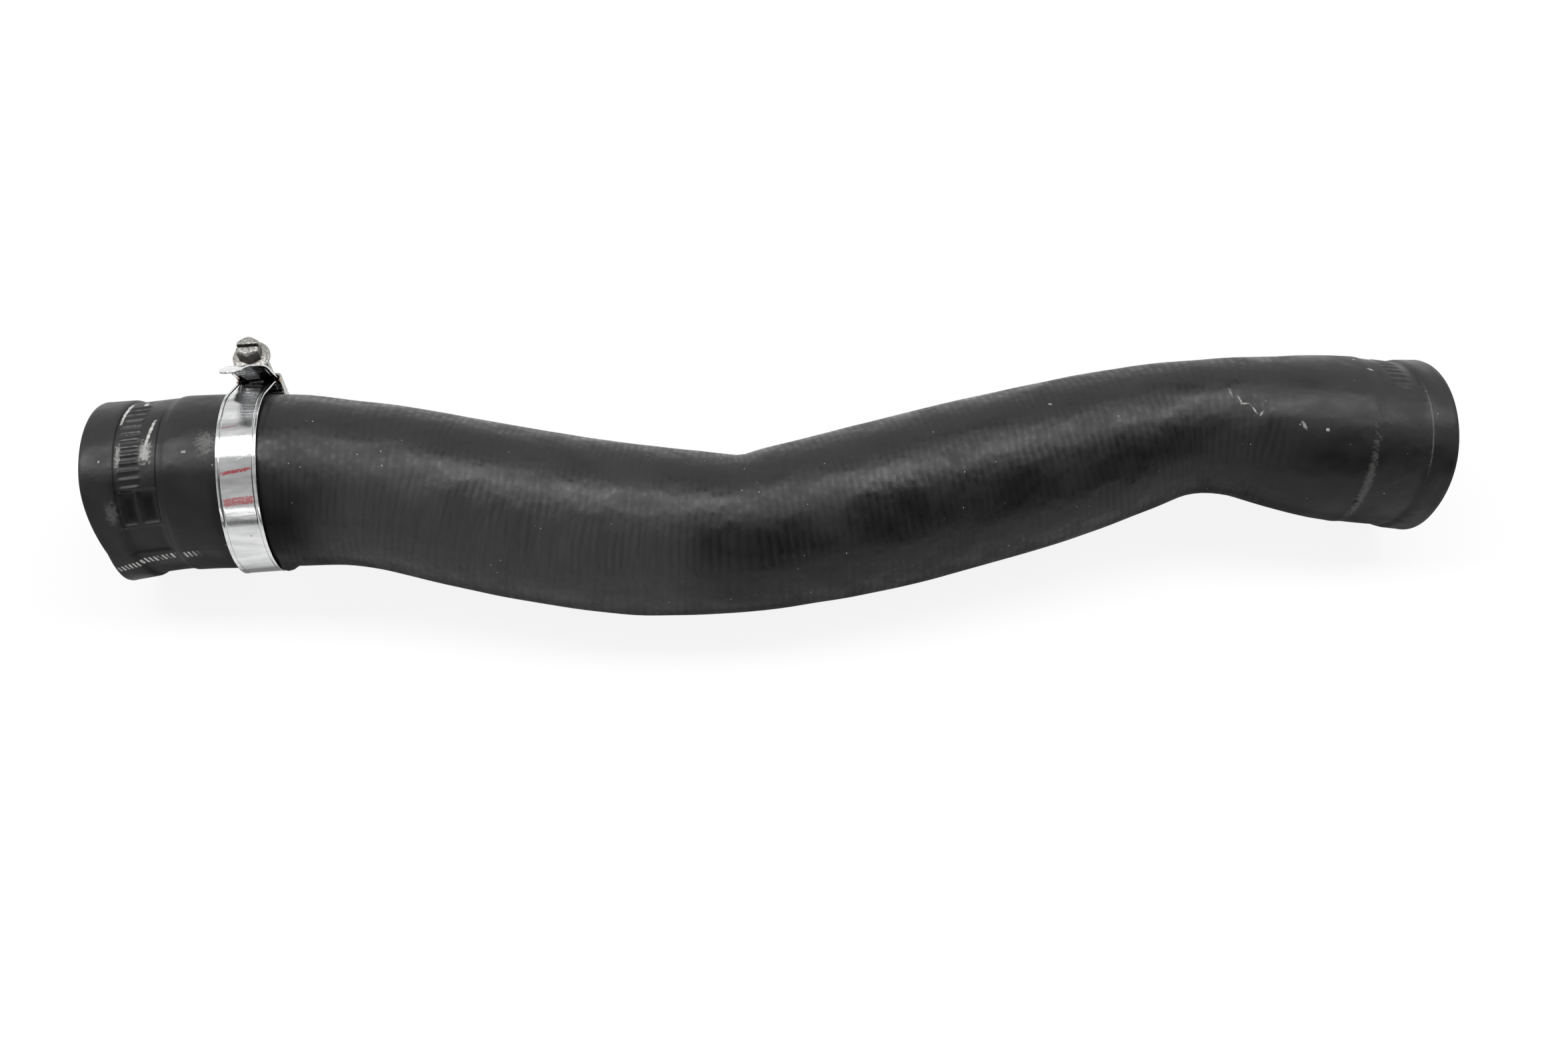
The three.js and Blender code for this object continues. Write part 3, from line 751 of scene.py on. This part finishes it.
def inside_span(tree, value, middle, half_width, edge):
    """1 where a value lies in a span, fading over its edges."""
    off = add_node(tree, "ShaderNodeMath", {0: value, 1: middle}, operation="SUBTRACT")[0]
    size = add_node(tree, "ShaderNodeMath", {0: off}, operation="ABSOLUTE")[0]
    return add_node(tree, "ShaderNodeMapRange", {
        "Value": size, "From Min": half_width + edge / 2, "From Max": half_width - edge / 2,
    }, interpolation_type="SMOOTHSTEP")["Result"]


def painted_strokes(tree, colour, along, around, grain, strokes):
    """Lays strokes on a colour, frayed by a grain: rubbed and inked marks, and painted highlights."""
    for distance, reach, slope, middle, spread, ink, cover, soft in strokes:
        turned = add_node(tree, "ShaderNodeMath", {0: around, 1: -slope, 2: slope * middle},
                          operation="MULTIPLY_ADD")[0]
        level = add_node(tree, "ShaderNodeMath", {0: along, 1: turned}, operation="ADD")[0]
        length_share = inside_span(tree, level, distance, reach, 2 * soft * reach)
        round_share = inside_span(tree, around, middle, spread, 2 * soft * spread)
        stroke = add_node(tree, "ShaderNodeMath", {0: length_share, 1: round_share},
                          operation="MULTIPLY")[0]
        frayed = add_node(tree, "ShaderNodeMath", {0: stroke, 1: 1.5, 2: grain},
                          operation="MULTIPLY_ADD")[0]
        share = add_node(tree, "ShaderNodeMapRange", {
            "Value": frayed, "From Min": 1.15, "From Max": 1.9, "To Max": cover})["Result"]
        colour = add_node(tree, "ShaderNodeMix", {"Factor": share, "A": colour, "B": hex_colour(ink)},
                          data_type="RGBA")["Result"]
    return colour


def nitrile_rubber(length):
    """Nitrile rubber, wrapped in cloth tape while it cured: satin black with fine ribs round it.

    Handling leaves grey powdery clouds, pale rubbed edges at the cuffs and a few white scuffs. The front of
    the left half is painted lighter as fill light, and the upper crests of the pressed ridges carry a
    painted highlight."""
    material = bpy.data.materials.new("nitrile_rubber")
    tree = empty_tree(material)
    place = add_node(tree, "ShaderNodeAttribute", attribute_name="moulded")["Vector"]
    part = add_node(tree, "ShaderNodeSeparateXYZ", {"Vector": place})
    along = part["X"]
    turn = add_node(tree, "ShaderNodeMath", {0: part["Y"], 1: part["Z"]}, operation="ARCTAN2")[0]
    angle = add_node(tree, "ShaderNodeMath", {0: turn}, operation="DEGREES")[0]

    # Clouds 20 mm across, drag marks 1 mm wide and 14 mm long round the hose, a grain of 0.4 mm, and
    # blots of 1 mm that fray the strokes
    cloud = add_node(tree, "ShaderNodeTexNoise", {"Vector": place, "Scale": 0.05, "Detail": 5})["Fac"]
    drawn = add_node(tree, "ShaderNodeVectorMath", {0: place, 1: (0.9, 0.07, 0.07)},
                     operation="MULTIPLY")[0]
    drag = add_node(tree, "ShaderNodeTexNoise", {"Vector": drawn, "Scale": 1.0, "Detail": 3})["Fac"]
    grain = add_node(tree, "ShaderNodeTexNoise", {
        "Vector": place, "Scale": 2.4, "Detail": 3, "Roughness": 0.65})["Fac"]
    blot = add_node(tree, "ShaderNodeTexNoise", {
        "Vector": place, "Scale": 0.9, "Detail": 5, "Roughness": 0.75})["Fac"]
    blot = add_node(tree, "ShaderNodeMapRange", {
        "Value": blot, "From Min": 0.38, "From Max": 0.62})["Result"]

    # Grey veil of grime in clouds, with painted fill light on the front of the left half, where the veil is
    # made thicker and lighter
    veil = add_node(tree, "ShaderNodeMapRange", {
        "Value": cloud, "From Min": 0.4, "From Max": 0.7})["Result"]
    front = inside_span(tree, angle, 62, 46, 36)
    left_half = inside_span(tree, along, 131, 57, 18)
    # Painted fill light: the front of the left half is made lighter, as if lit from the front
    painted_fill_patch = add_node(tree, "ShaderNodeMath", {0: front, 1: left_half}, operation="MULTIPLY")[0]
    dust_and_painted_fill = add_node(tree, "ShaderNodeMath", {0: veil, 1: 0.3, 2: painted_fill_patch}, operation="MULTIPLY_ADD")[0]
    lasting = add_node(tree, "ShaderNodeMath", {0: drag, 1: 0.5, 2: 0.25}, operation="MULTIPLY_ADD")[0]
    dust_and_fill_share = add_node(tree, "ShaderNodeMath", {0: dust_and_painted_fill, 1: lasting}, operation="MULTIPLY")[0]
    colour = add_node(tree, "ShaderNodeMix", {
        "Factor": dust_and_fill_share, "A": hex_colour("#0e0e0e"), "B": hex_colour("#3a3a3a")}, data_type="RGBA")["Result"]

    # Pale specks of 0.4 mm, one in each cell of 4.3 mm, where the clouds are thick
    speck = add_node(tree, "ShaderNodeTexVoronoi", {"Vector": place, "Scale": 0.23})["Distance"]
    dot = add_node(tree, "ShaderNodeMapRange", {
        "Value": speck, "From Min": 0.055, "From Max": 0.035})["Result"]
    thick = add_node(tree, "ShaderNodeMapRange", {
        "Value": cloud, "From Min": 0.47, "From Max": 0.53})["Result"]
    dotted = add_node(tree, "ShaderNodeMath", {0: dot, 1: thick}, operation="MULTIPLY")[0]
    colour = add_node(tree, "ShaderNodeMix", {
        "Factor": dotted, "A": colour, "B": hex_colour("#9c9c9a")}, data_type="RGBA")["Result"]

    # Chalky scrapes and rubbed patches: round the left groove, on the neck and at the right groove
    right_groove = length - RIGHT_GROOVE_START
    chalk, rubbed = "#c9c8c5", "#8d8d8b"
    colour = painted_strokes(tree, colour, along, angle, blot, [
        # distance, half its length, slope, angle, half its spread, colour, cover, softness
        (11.5, 0.45, 0, -27, 15, chalk, 0.8, 0.65),
        (20.6, 0.5, -0.065, 2, 15, chalk, 0.8, 0.65),
        (20.2, 1.7, 0, 12, 8, rubbed, 0.95, 0.9),
        (12.1, 0.9, 0, 12, 9, rubbed, 0.7, 0.9),
        (16.2, 0.7, 0.05, -37, 3.6, chalk, 0.8, 0.45),
        (30.8, 0.7, 0, 14.5, 0.9, chalk, 0.4, 0.6),
        (6.9, 0.3, 0, 15.9, 0.8, chalk, 0.6, 0.45),
        (37.0, 2.9, 0, 9, 8, rubbed, 0.3, 1),
        (8.6, 2.0, 0, 50, 7, rubbed, 0.18, 1),
        (366.0, 1.2, -0.5, 16.8, 0.7, chalk, 0.5, 0.8),
        (368.8, 0.35, 0.3, 21.4, 3.4, chalk, 0.5, 0.9),
        (371.2, 0.35, -0.2, 23.5, 2.6, chalk, 0.45, 0.9),
        (362.0, 0.4, 0.1, 8, 5, rubbed, 0.45, 0.9),
        (364.3, 0.35, 0.2, 13, 3.4, chalk, 0.4, 0.9),
        (382.5, 0.5, 0.2, 30, 3, chalk, 0.35, 0.9),
        (388.7, 0.45, 0, 31.4, 1.1, chalk, 0.5, 0.45),
        (399.7, 0.4, 0, -36, 0.8, chalk, 0.6, 0.45),
        (402.7, 0.8, 0.6, -21.7, 0.9, chalk, 0.7, 0.45),
        (306.4, 0.5, 0.3, -11.6, 0.9, chalk, 0.5, 0.45),
        (right_groove - BAND_WIDTH - 2, 1.3, 0, 68, 40, rubbed, 0.17, 1),
        (right_groove + 0.8, 0.2, 0, 24, 34, rubbed, 0.2, 0.6),
    ])

    # Worn stamp: a line of slanted ticks, one each 1.6 mm, under the left cuff
    leaning = add_node(tree, "ShaderNodeMath", {0: angle, 1: -0.12, 2: along}, operation="MULTIPLY_ADD")[0]
    tick = add_node(tree, "ShaderNodeMath", {0: leaning, 1: 1.6 / 2}, operation="PINGPONG")[0]
    tick = add_node(tree, "ShaderNodeMapRange", {
        "Value": tick, "From Min": 0.48, "From Max": 0.3})["Result"]
    rising = add_node(tree, "ShaderNodeMath", {0: along, 1: 0.23, 2: angle}, operation="MULTIPLY_ADD")[0]
    row = inside_span(tree, rising, 94.6, 2.7, 1.2)
    run = inside_span(tree, along, 15.5, 14.5, 5)
    gap = inside_span(tree, along, 24.4, 1.4, 1.2)
    worn = add_node(tree, "ShaderNodeMapRange", {
        "Value": drag, "From Min": 0.36, "From Max": 0.56})["Result"]
    for share in (row, run, worn):
        tick = add_node(tree, "ShaderNodeMath", {0: tick, 1: share}, operation="MULTIPLY")[0]
    tick = add_node(tree, "ShaderNodeMath", {0: tick, 1: gap}, operation="SUBTRACT", use_clamp=True)[0]
    colour = add_node(tree, "ShaderNodeMix", {
        "Factor": tick, "A": colour, "B": hex_colour("#c0c0be")}, data_type="RGBA")["Result"]

    # Painted highlight: pale lines of 0.3 mm on the crests of the pressed ridges, only on the upper side,
    # in the rubbed grey
    crest_highlight = add_node(tree, "ShaderNodeMath", {0: angle, 1: FIRST_LEFT_RIDGE}, operation="SUBTRACT")[0]
    crest_highlight = add_node(tree, "ShaderNodeMath", {0: crest_highlight, 1: RIDGE_PITCH / 2}, operation="PINGPONG")[0]
    crest_highlight = add_node(tree, "ShaderNodeMapRange", {
        "Value": crest_highlight, "From Min": 0.75, "From Max": 0.25, "To Max": 0.55})["Result"]
    ridge_length = inside_span(tree, along, 15.3, 2.9, 0.6)
    ridge_row = inside_span(tree, angle, -6, 22, 14)
    for share in (ridge_length, ridge_row, blot):
        crest_highlight = add_node(tree, "ShaderNodeMath", {0: crest_highlight, 1: share}, operation="MULTIPLY")[0]
    colour = add_node(tree, "ShaderNodeMix", {
        "Factor": crest_highlight, "A": colour, "B": hex_colour(rubbed)}, data_type="RGBA")["Result"]

    # Ribs of the wrapping tape, one each 2.45 mm, that come and go every 9 mm
    ribs = add_node(tree, "ShaderNodeTexWave", {
        "Vector": place, "Scale": 2 * math.pi / (20 * 2.45), "Distortion": 1.6, "Detail": 1,
        "Detail Scale": 0.6}, bands_direction="X")["Fac"]
    weave = add_node(tree, "ShaderNodeTexNoise", {"Vector": place, "Scale": 0.11, "Detail": 2})["Fac"]
    body = inside_span(tree, along, length / 2, length / 2 - 48, 12)
    shown = add_node(tree, "ShaderNodeMapRange", {
        "Value": weave, "From Min": 0.36, "From Max": 0.66})["Result"]
    raised = add_node(tree, "ShaderNodeMath", {0: ribs, 1: shown}, operation="MULTIPLY")[0]
    raised = add_node(tree, "ShaderNodeMath", {0: raised, 1: body}, operation="MULTIPLY")[0]
    # Heights in millimetres: 0.035 of grain, 0.34 of the weave's unevenness and 0.13 of ribs
    relief = add_node(tree, "ShaderNodeMath", {0: drag, 1: 0.07, 2: grain}, operation="MULTIPLY_ADD")[0]
    relief = add_node(tree, "ShaderNodeMath", {0: relief, 1: 0.035}, operation="MULTIPLY")[0]
    relief = add_node(tree, "ShaderNodeMath", {0: weave, 1: 0.34, 2: relief}, operation="MULTIPLY_ADD")[0]
    relief = add_node(tree, "ShaderNodeMath", {0: raised, 1: 0.13, 2: relief}, operation="MULTIPLY_ADD")[0]
    normal = add_node(tree, "ShaderNodeBump", {"Height": relief, "Strength": 1, "Distance": MM})["Normal"]
    uneven_gloss = add_node(tree, "ShaderNodeMath", {0: cloud, 1: weave}, operation="ADD")[0]
    gloss = add_node(tree, "ShaderNodeMapRange", {
        "Value": uneven_gloss, "From Min": 0.75, "From Max": 1.25,
        "To Min": 0.32, "To Max": 0.56})["Result"]
    # Crests of the ribs, rubbed smoother in spots of 2.5 mm
    spots = add_node(tree, "ShaderNodeTexNoise", {"Vector": place, "Scale": 0.4, "Detail": 2})["Fac"]
    spots = add_node(tree, "ShaderNodeMapRange", {
        "Value": spots, "From Min": 0.42, "From Max": 0.6})["Result"]
    rubbed_crest = add_node(tree, "ShaderNodeMath", {0: ribs, 1: spots}, operation="MULTIPLY")[0]
    rubbed_crest = add_node(tree, "ShaderNodeMath", {0: rubbed_crest, 1: body}, operation="MULTIPLY")[0]
    gloss = add_node(tree, "ShaderNodeMath", {0: rubbed_crest, 1: -0.11, 2: gloss},
                     operation="MULTIPLY_ADD")[0]
    # The sheen is weak underneath, and in patches: the two lobes of the earlier clamp's print, beside
    # the clamp, and in the corners of the groove
    sheen = add_node(tree, "ShaderNodeMapRange", {
        "Value": angle, "From Min": 60, "From Max": 104, "To Min": 0.3, "To Max": 0.06})["Result"]
    dull_patches = [
        # distance, half its length, fade, angle, half its spread, fade
        (13.8, 1.7, 2.0, 49, 9, 8), (19.7, 1.7, 2.0, 49, 9, 8), (54, 13, 16, 88, 42, 44),
        (10.7, 0.2, 0.5, 12, 50, 40), (23.0, 0.2, 0.5, 12, 30, 30),
    ]
    for distance, reach, fade, middle, spread, turn_fade in dull_patches:
        length_share = inside_span(tree, along, distance, reach, fade)
        round_share = inside_span(tree, angle, middle, spread, turn_fade)
        dull = add_node(tree, "ShaderNodeMath", {0: length_share, 1: round_share}, operation="MULTIPLY")[0]
        sheen = add_node(tree, "ShaderNodeMix", {"Factor": dull, "A": sheen, "B": 0.07})["Result"]
    shader = add_node(tree, "ShaderNodeBsdfPrincipled", {
        "Base Color": colour, "Roughness": gloss, "Normal": normal, "IOR": 1.52,
        "Specular IOR Level": sheen})
    add_node(tree, "ShaderNodeOutputMaterial", {"Surface": shader["BSDF"]})
    return material


def stainless_strip():
    """Stainless steel strip, rolled bright: a clear mirror, slightly wavy and finely scratched along it.

    Two marks in red ink cross it, and a third is nearly wiped off. Painted shade lies in the grooves beside
    its beaded edges, and painted highlights on two scratches."""
    material = bpy.data.materials.new("stainless_strip")
    tree = empty_tree(material)
    place = add_node(tree, "ShaderNodeAttribute", attribute_name="rolled")["Vector"]
    part = add_node(tree, "ShaderNodeSeparateXYZ", {"Vector": place})
    across, along, angle = part["X"], part["Y"], part["Z"]
    # Rolling lines 0.15 mm wide and 4 mm long, smears 8 mm wide and 2 mm long, a grain of 0.6 mm
    flat = add_node(tree, "ShaderNodeCombineXYZ", {"X": across, "Y": along})["Vector"]
    drawn = add_node(tree, "ShaderNodeVectorMath", {0: flat, 1: (7, 0.25, 1)}, operation="MULTIPLY")[0]
    rolling = add_node(tree, "ShaderNodeTexNoise", {"Vector": drawn, "Scale": 1.0, "Detail": 2})["Fac"]
    banded = add_node(tree, "ShaderNodeVectorMath", {0: flat, 1: (0.12, 0.45, 1)}, operation="MULTIPLY")[0]
    smear = add_node(tree, "ShaderNodeTexNoise", {"Vector": banded, "Scale": 1.0, "Detail": 3})["Fac"]
    grain = add_node(tree, "ShaderNodeTexNoise", {"Vector": flat, "Scale": 1.6, "Detail": 4})["Fac"]
    tint = add_node(tree, "ShaderNodeMapRange", {
        "Value": smear, "From Min": 0.35, "From Max": 0.65})["Result"]
    colour = add_node(tree, "ShaderNodeMix", {
        "Factor": tint, "A": hex_colour("#bfc0c1"), "B": hex_colour("#d4d4d4")}, data_type="RGBA")["Result"]
    # Painted shade in the grooves beside the beaded edges, in lines of 0.2 mm
    off_middle = add_node(tree, "ShaderNodeMath", {0: across}, operation="ABSOLUTE")[0]
    groove_shade = inside_span(tree, off_middle, BAND_WIDTH / 2 - EDGE_GROOVE, 0.1, 0.16)
    groove_shade = add_node(tree, "ShaderNodeMath", {0: groove_shade, 1: 0.6}, operation="MULTIPLY")[0]
    colour = add_node(tree, "ShaderNodeMix", {
        "Factor": groove_shade, "A": colour, "B": hex_colour("#6b6b6c")}, data_type="RGBA")["Result"]
    red, faded, soot = "#bb3a45", "#b06a70", "#39393a"
    blot = add_node(tree, "ShaderNodeMapRange", {
        "Value": grain, "From Min": 0.38, "From Max": 0.62})["Result"]
    colour = painted_strokes(tree, colour, angle, across, blot, [
        # angle round the ring, half its spread, slope, place across, half width, colour, cover, softness
        (118.4, 1.15, -0.22, -0.2, 4.8, red, 0.85, 0.3),
        (136.6, 2.5, -0.1, 0.2, 5.0, red, 0.68, 0.25),
        (88.8, 0.8, -0.2, -2.3, 2.6, faded, 0.5, 0.3),
        # Painted highlights: the two near-white strokes are scratches lit at the lower edge of the overhead
        # lamp's reflection
        (110.0, 0.3, -0.9, 1.8, 1.7, "#f4f4f4", 0.8, 0.3),
        (106.5, 1.8, 0.5, -2.2, 1.9, "#ededed", 0.5, 0.3),
        (160.5, 0.45, 0, 1.9, 0.25, soot, 0.9, 0.3),
    ])
    height = add_node(tree, "ShaderNodeMath", {0: rolling, 1: 0.012}, operation="MULTIPLY")[0]
    height = add_node(tree, "ShaderNodeMath", {0: smear, 1: 0.035, 2: height}, operation="MULTIPLY_ADD")[0]
    normal = add_node(tree, "ShaderNodeBump", {"Height": height, "Strength": 1, "Distance": MM})["Normal"]
    gloss = add_node(tree, "ShaderNodeMapRange", {
        "Value": grain, "From Min": 0.3, "From Max": 0.7, "To Min": 0.1, "To Max": 0.17})["Result"]
    shader = add_node(tree, "ShaderNodeBsdfPrincipled", {
        "Base Color": colour, "Roughness": gloss, "Normal": normal, "Metallic": 1})
    add_node(tree, "ShaderNodeOutputMaterial", {"Surface": shader["BSDF"]})
    return material


def pressed_steel_sheet():
    """Steel sheet, folded cold: a dull mottled grey with rust where its cut edges lie on the strip."""
    material = bpy.data.materials.new("pressed_steel_sheet")
    tree = empty_tree(material)
    place = add_node(tree, "ShaderNodeAttribute", attribute_name="formed")["Vector"]
    part = add_node(tree, "ShaderNodeSeparateXYZ", {"Vector": place})
    # Mottles of 1.1 mm and pits of 0.25 mm
    mottle = add_node(tree, "ShaderNodeTexNoise", {
        "Vector": place, "Scale": 0.9, "Detail": 5, "Roughness": 0.65})["Fac"]
    pits = add_node(tree, "ShaderNodeTexNoise", {"Vector": place, "Scale": 4, "Detail": 3})["Fac"]
    tone = add_node(tree, "ShaderNodeMapRange", {
        "Value": mottle, "From Min": 0.35, "From Max": 0.65})["Result"]
    colour = add_node(tree, "ShaderNodeMix", {
        "Factor": tone, "A": hex_colour("#8a8a88"), "B": hex_colour("#c6c5c1")}, data_type="RGBA")["Result"]
    # Rust on the floor's underside near both cut ends
    inner = inside_span(tree, part["Y"], FLOOR_OUTSIDE, 1.6, 1.6)
    ends = inside_span(tree, part["Z"], (HOUSING_TOP + HOUSING_BOTTOM) / 2, 5.4, 1.6)
    rust = add_node(tree, "ShaderNodeMath", {0: inner, 1: ends}, operation="SUBTRACT")[0]
    rust = add_node(tree, "ShaderNodeMath", {0: rust, 1: mottle}, operation="ADD")[0]
    rust = add_node(tree, "ShaderNodeMapRange", {
        "Value": rust, "From Min": 1.05, "From Max": 1.8})["Result"]
    colour = add_node(tree, "ShaderNodeMix", {
        "Factor": rust, "A": colour, "B": hex_colour("#7d5138")}, data_type="RGBA")["Result"]
    normal = add_node(tree, "ShaderNodeBump", {
        "Height": pits, "Strength": 0.6, "Distance": 0.05 * MM})["Normal"]
    gloss = add_node(tree, "ShaderNodeMapRange", {
        "Value": mottle, "From Min": 0.3, "From Max": 0.7, "To Min": 0.2, "To Max": 0.42})["Result"]
    shader = add_node(tree, "ShaderNodeBsdfPrincipled", {
        "Base Color": colour, "Roughness": gloss, "Normal": normal, "Metallic": 1})
    add_node(tree, "ShaderNodeOutputMaterial", {"Surface": shader["BSDF"]})
    return material


def zinc_plated_steel():
    """Zinc-plated steel, turned and long in use: blotched grey, with painted shade on the head's flats, and
    rusty corners.
    """
    material = bpy.data.materials.new("zinc_plated_steel")
    tree = empty_tree(material)
    place = add_node(tree, "ShaderNodeAttribute", attribute_name="formed")["Vector"]
    part = add_node(tree, "ShaderNodeSeparateXYZ", {"Vector": place})
    # Blotches of 0.9 mm and pits of 0.3 mm
    blotch = add_node(tree, "ShaderNodeTexNoise", {
        "Vector": place, "Scale": 1.1, "Detail": 6, "Roughness": 0.72})["Fac"]
    pits = add_node(tree, "ShaderNodeTexNoise", {"Vector": place, "Scale": 3.5, "Detail": 3})["Fac"]
    tone = add_node(tree, "ShaderNodeMapRange", {
        "Value": blotch, "From Min": 0.4, "From Max": 0.6})["Result"]
    colour = add_node(tree, "ShaderNodeMix", {
        "Factor": tone, "A": hex_colour("#62625f"), "B": hex_colour("#aeada9")}, data_type="RGBA")["Result"]
    # Painted shade darkens the head's flats, and rust sits in the corner at its foot
    flats = inside_span(tree, part["Z"], COLLAR_TOP + 2.6, 2.0, 0.6)
    flats = add_node(tree, "ShaderNodeMath", {0: flats, 1: 0.75}, operation="MULTIPLY")[0]
    colour = add_node(tree, "ShaderNodeMix", {
        "Factor": flats, "A": colour, "B": hex_colour("#3a3a39")}, data_type="RGBA")["Result"]
    corner = inside_span(tree, part["Z"], COLLAR_TOP + 0.4, 0.5, 0.9)
    rust = add_node(tree, "ShaderNodeMath", {0: corner, 1: 0.28, 2: pits}, operation="MULTIPLY_ADD")[0]
    rust = add_node(tree, "ShaderNodeMapRange", {
        "Value": rust, "From Min": 0.7, "From Max": 0.9, "To Max": 0.35})
    colour = add_node(tree, "ShaderNodeMix", {
        "Factor": rust["Result"], "A": colour, "B": hex_colour("#6b4e40")}, data_type="RGBA")["Result"]
    height = add_node(tree, "ShaderNodeMath", {0: blotch, 1: pits}, operation="ADD")[0]
    normal = add_node(tree, "ShaderNodeBump", {
        "Height": height, "Strength": 0.7, "Distance": 0.09 * MM})["Normal"]
    gloss = add_node(tree, "ShaderNodeMapRange", {
        "Value": blotch, "From Min": 0.35, "From Max": 0.65, "To Min": 0.46, "To Max": 0.26})["Result"]
    shader = add_node(tree, "ShaderNodeBsdfPrincipled", {
        "Base Color": colour, "Roughness": gloss, "Normal": normal, "Metallic": 1})
    add_node(tree, "ShaderNodeOutputMaterial", {"Surface": shader["BSDF"]})
    return material


def set_camera():
    """A long lens in front of the hose, looking down on it."""
    elevation = math.radians(CAMERA_ELEVATION)
    away = Vector((0, -math.cos(elevation), math.sin(elevation)))
    data = bpy.data.cameras.new("camera")
    data.sensor_width = SENSOR_WIDTH
    data.lens = CAMERA_FOCAL_PIXELS / IMAGE_WIDTH * SENSOR_WIDTH
    camera = bpy.data.objects.new("camera", data)
    camera.location = CAMERA_TARGET + CAMERA_DISTANCE * away
    camera.rotation_euler = away.to_track_quat("Z", "Y").to_euler()
    bpy.context.scene.collection.objects.link(camera)
    bpy.context.scene.camera = camera


def studio_air():
    """World: white to the camera, panels of light in reflections, and a weak even light on the rest."""
    world = bpy.data.worlds.new("studio_air")
    bpy.context.scene.world = world
    tree = empty_tree(world)
    way = add_node(tree, "ShaderNodeTexCoord")["Generated"]
    part = add_node(tree, "ShaderNodeSeparateXYZ", {"Vector": way})
    turn = add_node(tree, "ShaderNodeMath", {0: part["Z"], 1: part["Y"]}, operation="ARCTAN2")[0]
    sweep = add_node(tree, "ShaderNodeMath", {0: turn}, operation="DEGREES")[0]
    # Walls and screens, in degrees from the horizon behind, over the zenith, to the one in front
    strength = add_node(tree, "ShaderNodeMapRange", {
        "Value": sweep, "From Min": 94, "From Max": 100, "To Min": 0.95, "To Max": 0.6})["Result"]
    for middle, half_width, light in SCREENS:
        screen = inside_span(tree, sweep, middle, half_width, 3)
        strength = add_node(tree, "ShaderNodeMix", {"Factor": screen, "A": strength, "B": light})["Result"]
    # The front is unlit towards the right
    side = add_node(tree, "ShaderNodeMapRange", {
        "Value": part["X"], "From Min": -0.15, "From Max": 0.08, "To Max": 0.9})["Result"]
    front = add_node(tree, "ShaderNodeMapRange", {
        "Value": sweep, "From Min": 94, "From Max": 110})["Result"]
    unlit = add_node(tree, "ShaderNodeMath", {0: side, 1: front}, operation="MULTIPLY")[0]
    strength = add_node(tree, "ShaderNodeMix", {"Factor": unlit, "A": strength, "B": 0.05})["Result"]
    path = add_node(tree, "ShaderNodeLightPath")
    shown = add_node(tree, "ShaderNodeMath", {0: path["Is Glossy Ray"], 1: path["Is Transmission Ray"]},
                     operation="MAXIMUM")[0]
    strength = add_node(tree, "ShaderNodeMix", {"Factor": shown, "A": 0.3, "B": strength})["Result"]
    strength = add_node(tree, "ShaderNodeMath", {0: strength, 1: path["Is Camera Ray"]},
                        operation="MAXIMUM")[0]
    air = add_node(tree, "ShaderNodeBackground", {"Color": (1, 1, 1, 1), "Strength": strength})
    add_node(tree, "ShaderNodeOutputWorld", {"Surface": air["Background"]})


def studio_paper():
    """Matt white paper that the camera and reflections see as white, with the hose's soft shadow on it."""
    material = bpy.data.materials.new("studio_paper")
    tree = empty_tree(material)
    paper = add_node(tree, "ShaderNodeBsdfDiffuse", {"Color": hex_colour("#f2f2f2")})["BSDF"]
    white = add_node(tree, "ShaderNodeEmission", {"Color": (1, 1, 1, 1), "Strength": 1.0})["Emission"]
    path = add_node(tree, "ShaderNodeLightPath")
    mirrored = add_node(tree, "ShaderNodeMath", {0: path["Is Glossy Ray"], 1: path["Is Transmission Ray"]},
                        operation="MAXIMUM")[0]
    share = add_node(tree, "ShaderNodeMath", {0: mirrored, 1: 0.12}, operation="MULTIPLY")[0]
    share = add_node(tree, "ShaderNodeMath", {0: path["Is Camera Ray"], 1: 0.88, 2: share},
                     operation="MULTIPLY_ADD")[0]
    mix = add_node(tree, "ShaderNodeMixShader", {0: share, 1: paper, 2: white})["Shader"]
    add_node(tree, "ShaderNodeOutputMaterial", {"Surface": mix})
    return material


def studio_floor():
    """A round sheet of paper, 8 m across, on the ground."""
    sheet = bmesh.new()
    bmesh.ops.create_circle(sheet, cap_ends=True, segments=64, radius=4)
    mesh = bpy.data.meshes.new("studio_floor")
    sheet.to_mesh(mesh)
    sheet.free()
    floor = bpy.data.objects.new("studio_floor", mesh)
    bpy.context.scene.collection.objects.link(floor)
    mesh.materials.append(studio_paper())


def softbox(name, place, size, power):
    """A lamp behind a diffuser, turned to the hose: metres and watts."""
    data = bpy.data.lights.new(name, "AREA")
    data.shape = "RECTANGLE"
    data.size, data.size_y = size
    data.energy = power
    lamp = bpy.data.objects.new(name, data)
    lamp.location = place
    lamp.rotation_euler = (Vector(place) - CAMERA_TARGET).to_track_quat("Z", "Y").to_euler()
    bpy.context.scene.collection.objects.link(lamp)


scene = bpy.context.scene
scene.view_settings.view_transform = "Standard"
set_camera()
studio_air()
studio_floor()
softbox("overhead", (0, 0.24, 1.5), (4, 0.5), 45)
softbox("front", (-0.5, -1.8, 0.5), (1.4, 0.13), 1.2)

hose_line = Centreline(route_in_frame(Centreline(ROUTE)))
moulded_hose(hose_line, nitrile_rubber(hose_line.length))
clamp_place = clamp_axes(hose_line)
clamp_strip(clamp_place, stainless_strip())
clamp_housing(clamp_place, pressed_steel_sheet())
clamp_screw(clamp_place, zinc_plated_steel())
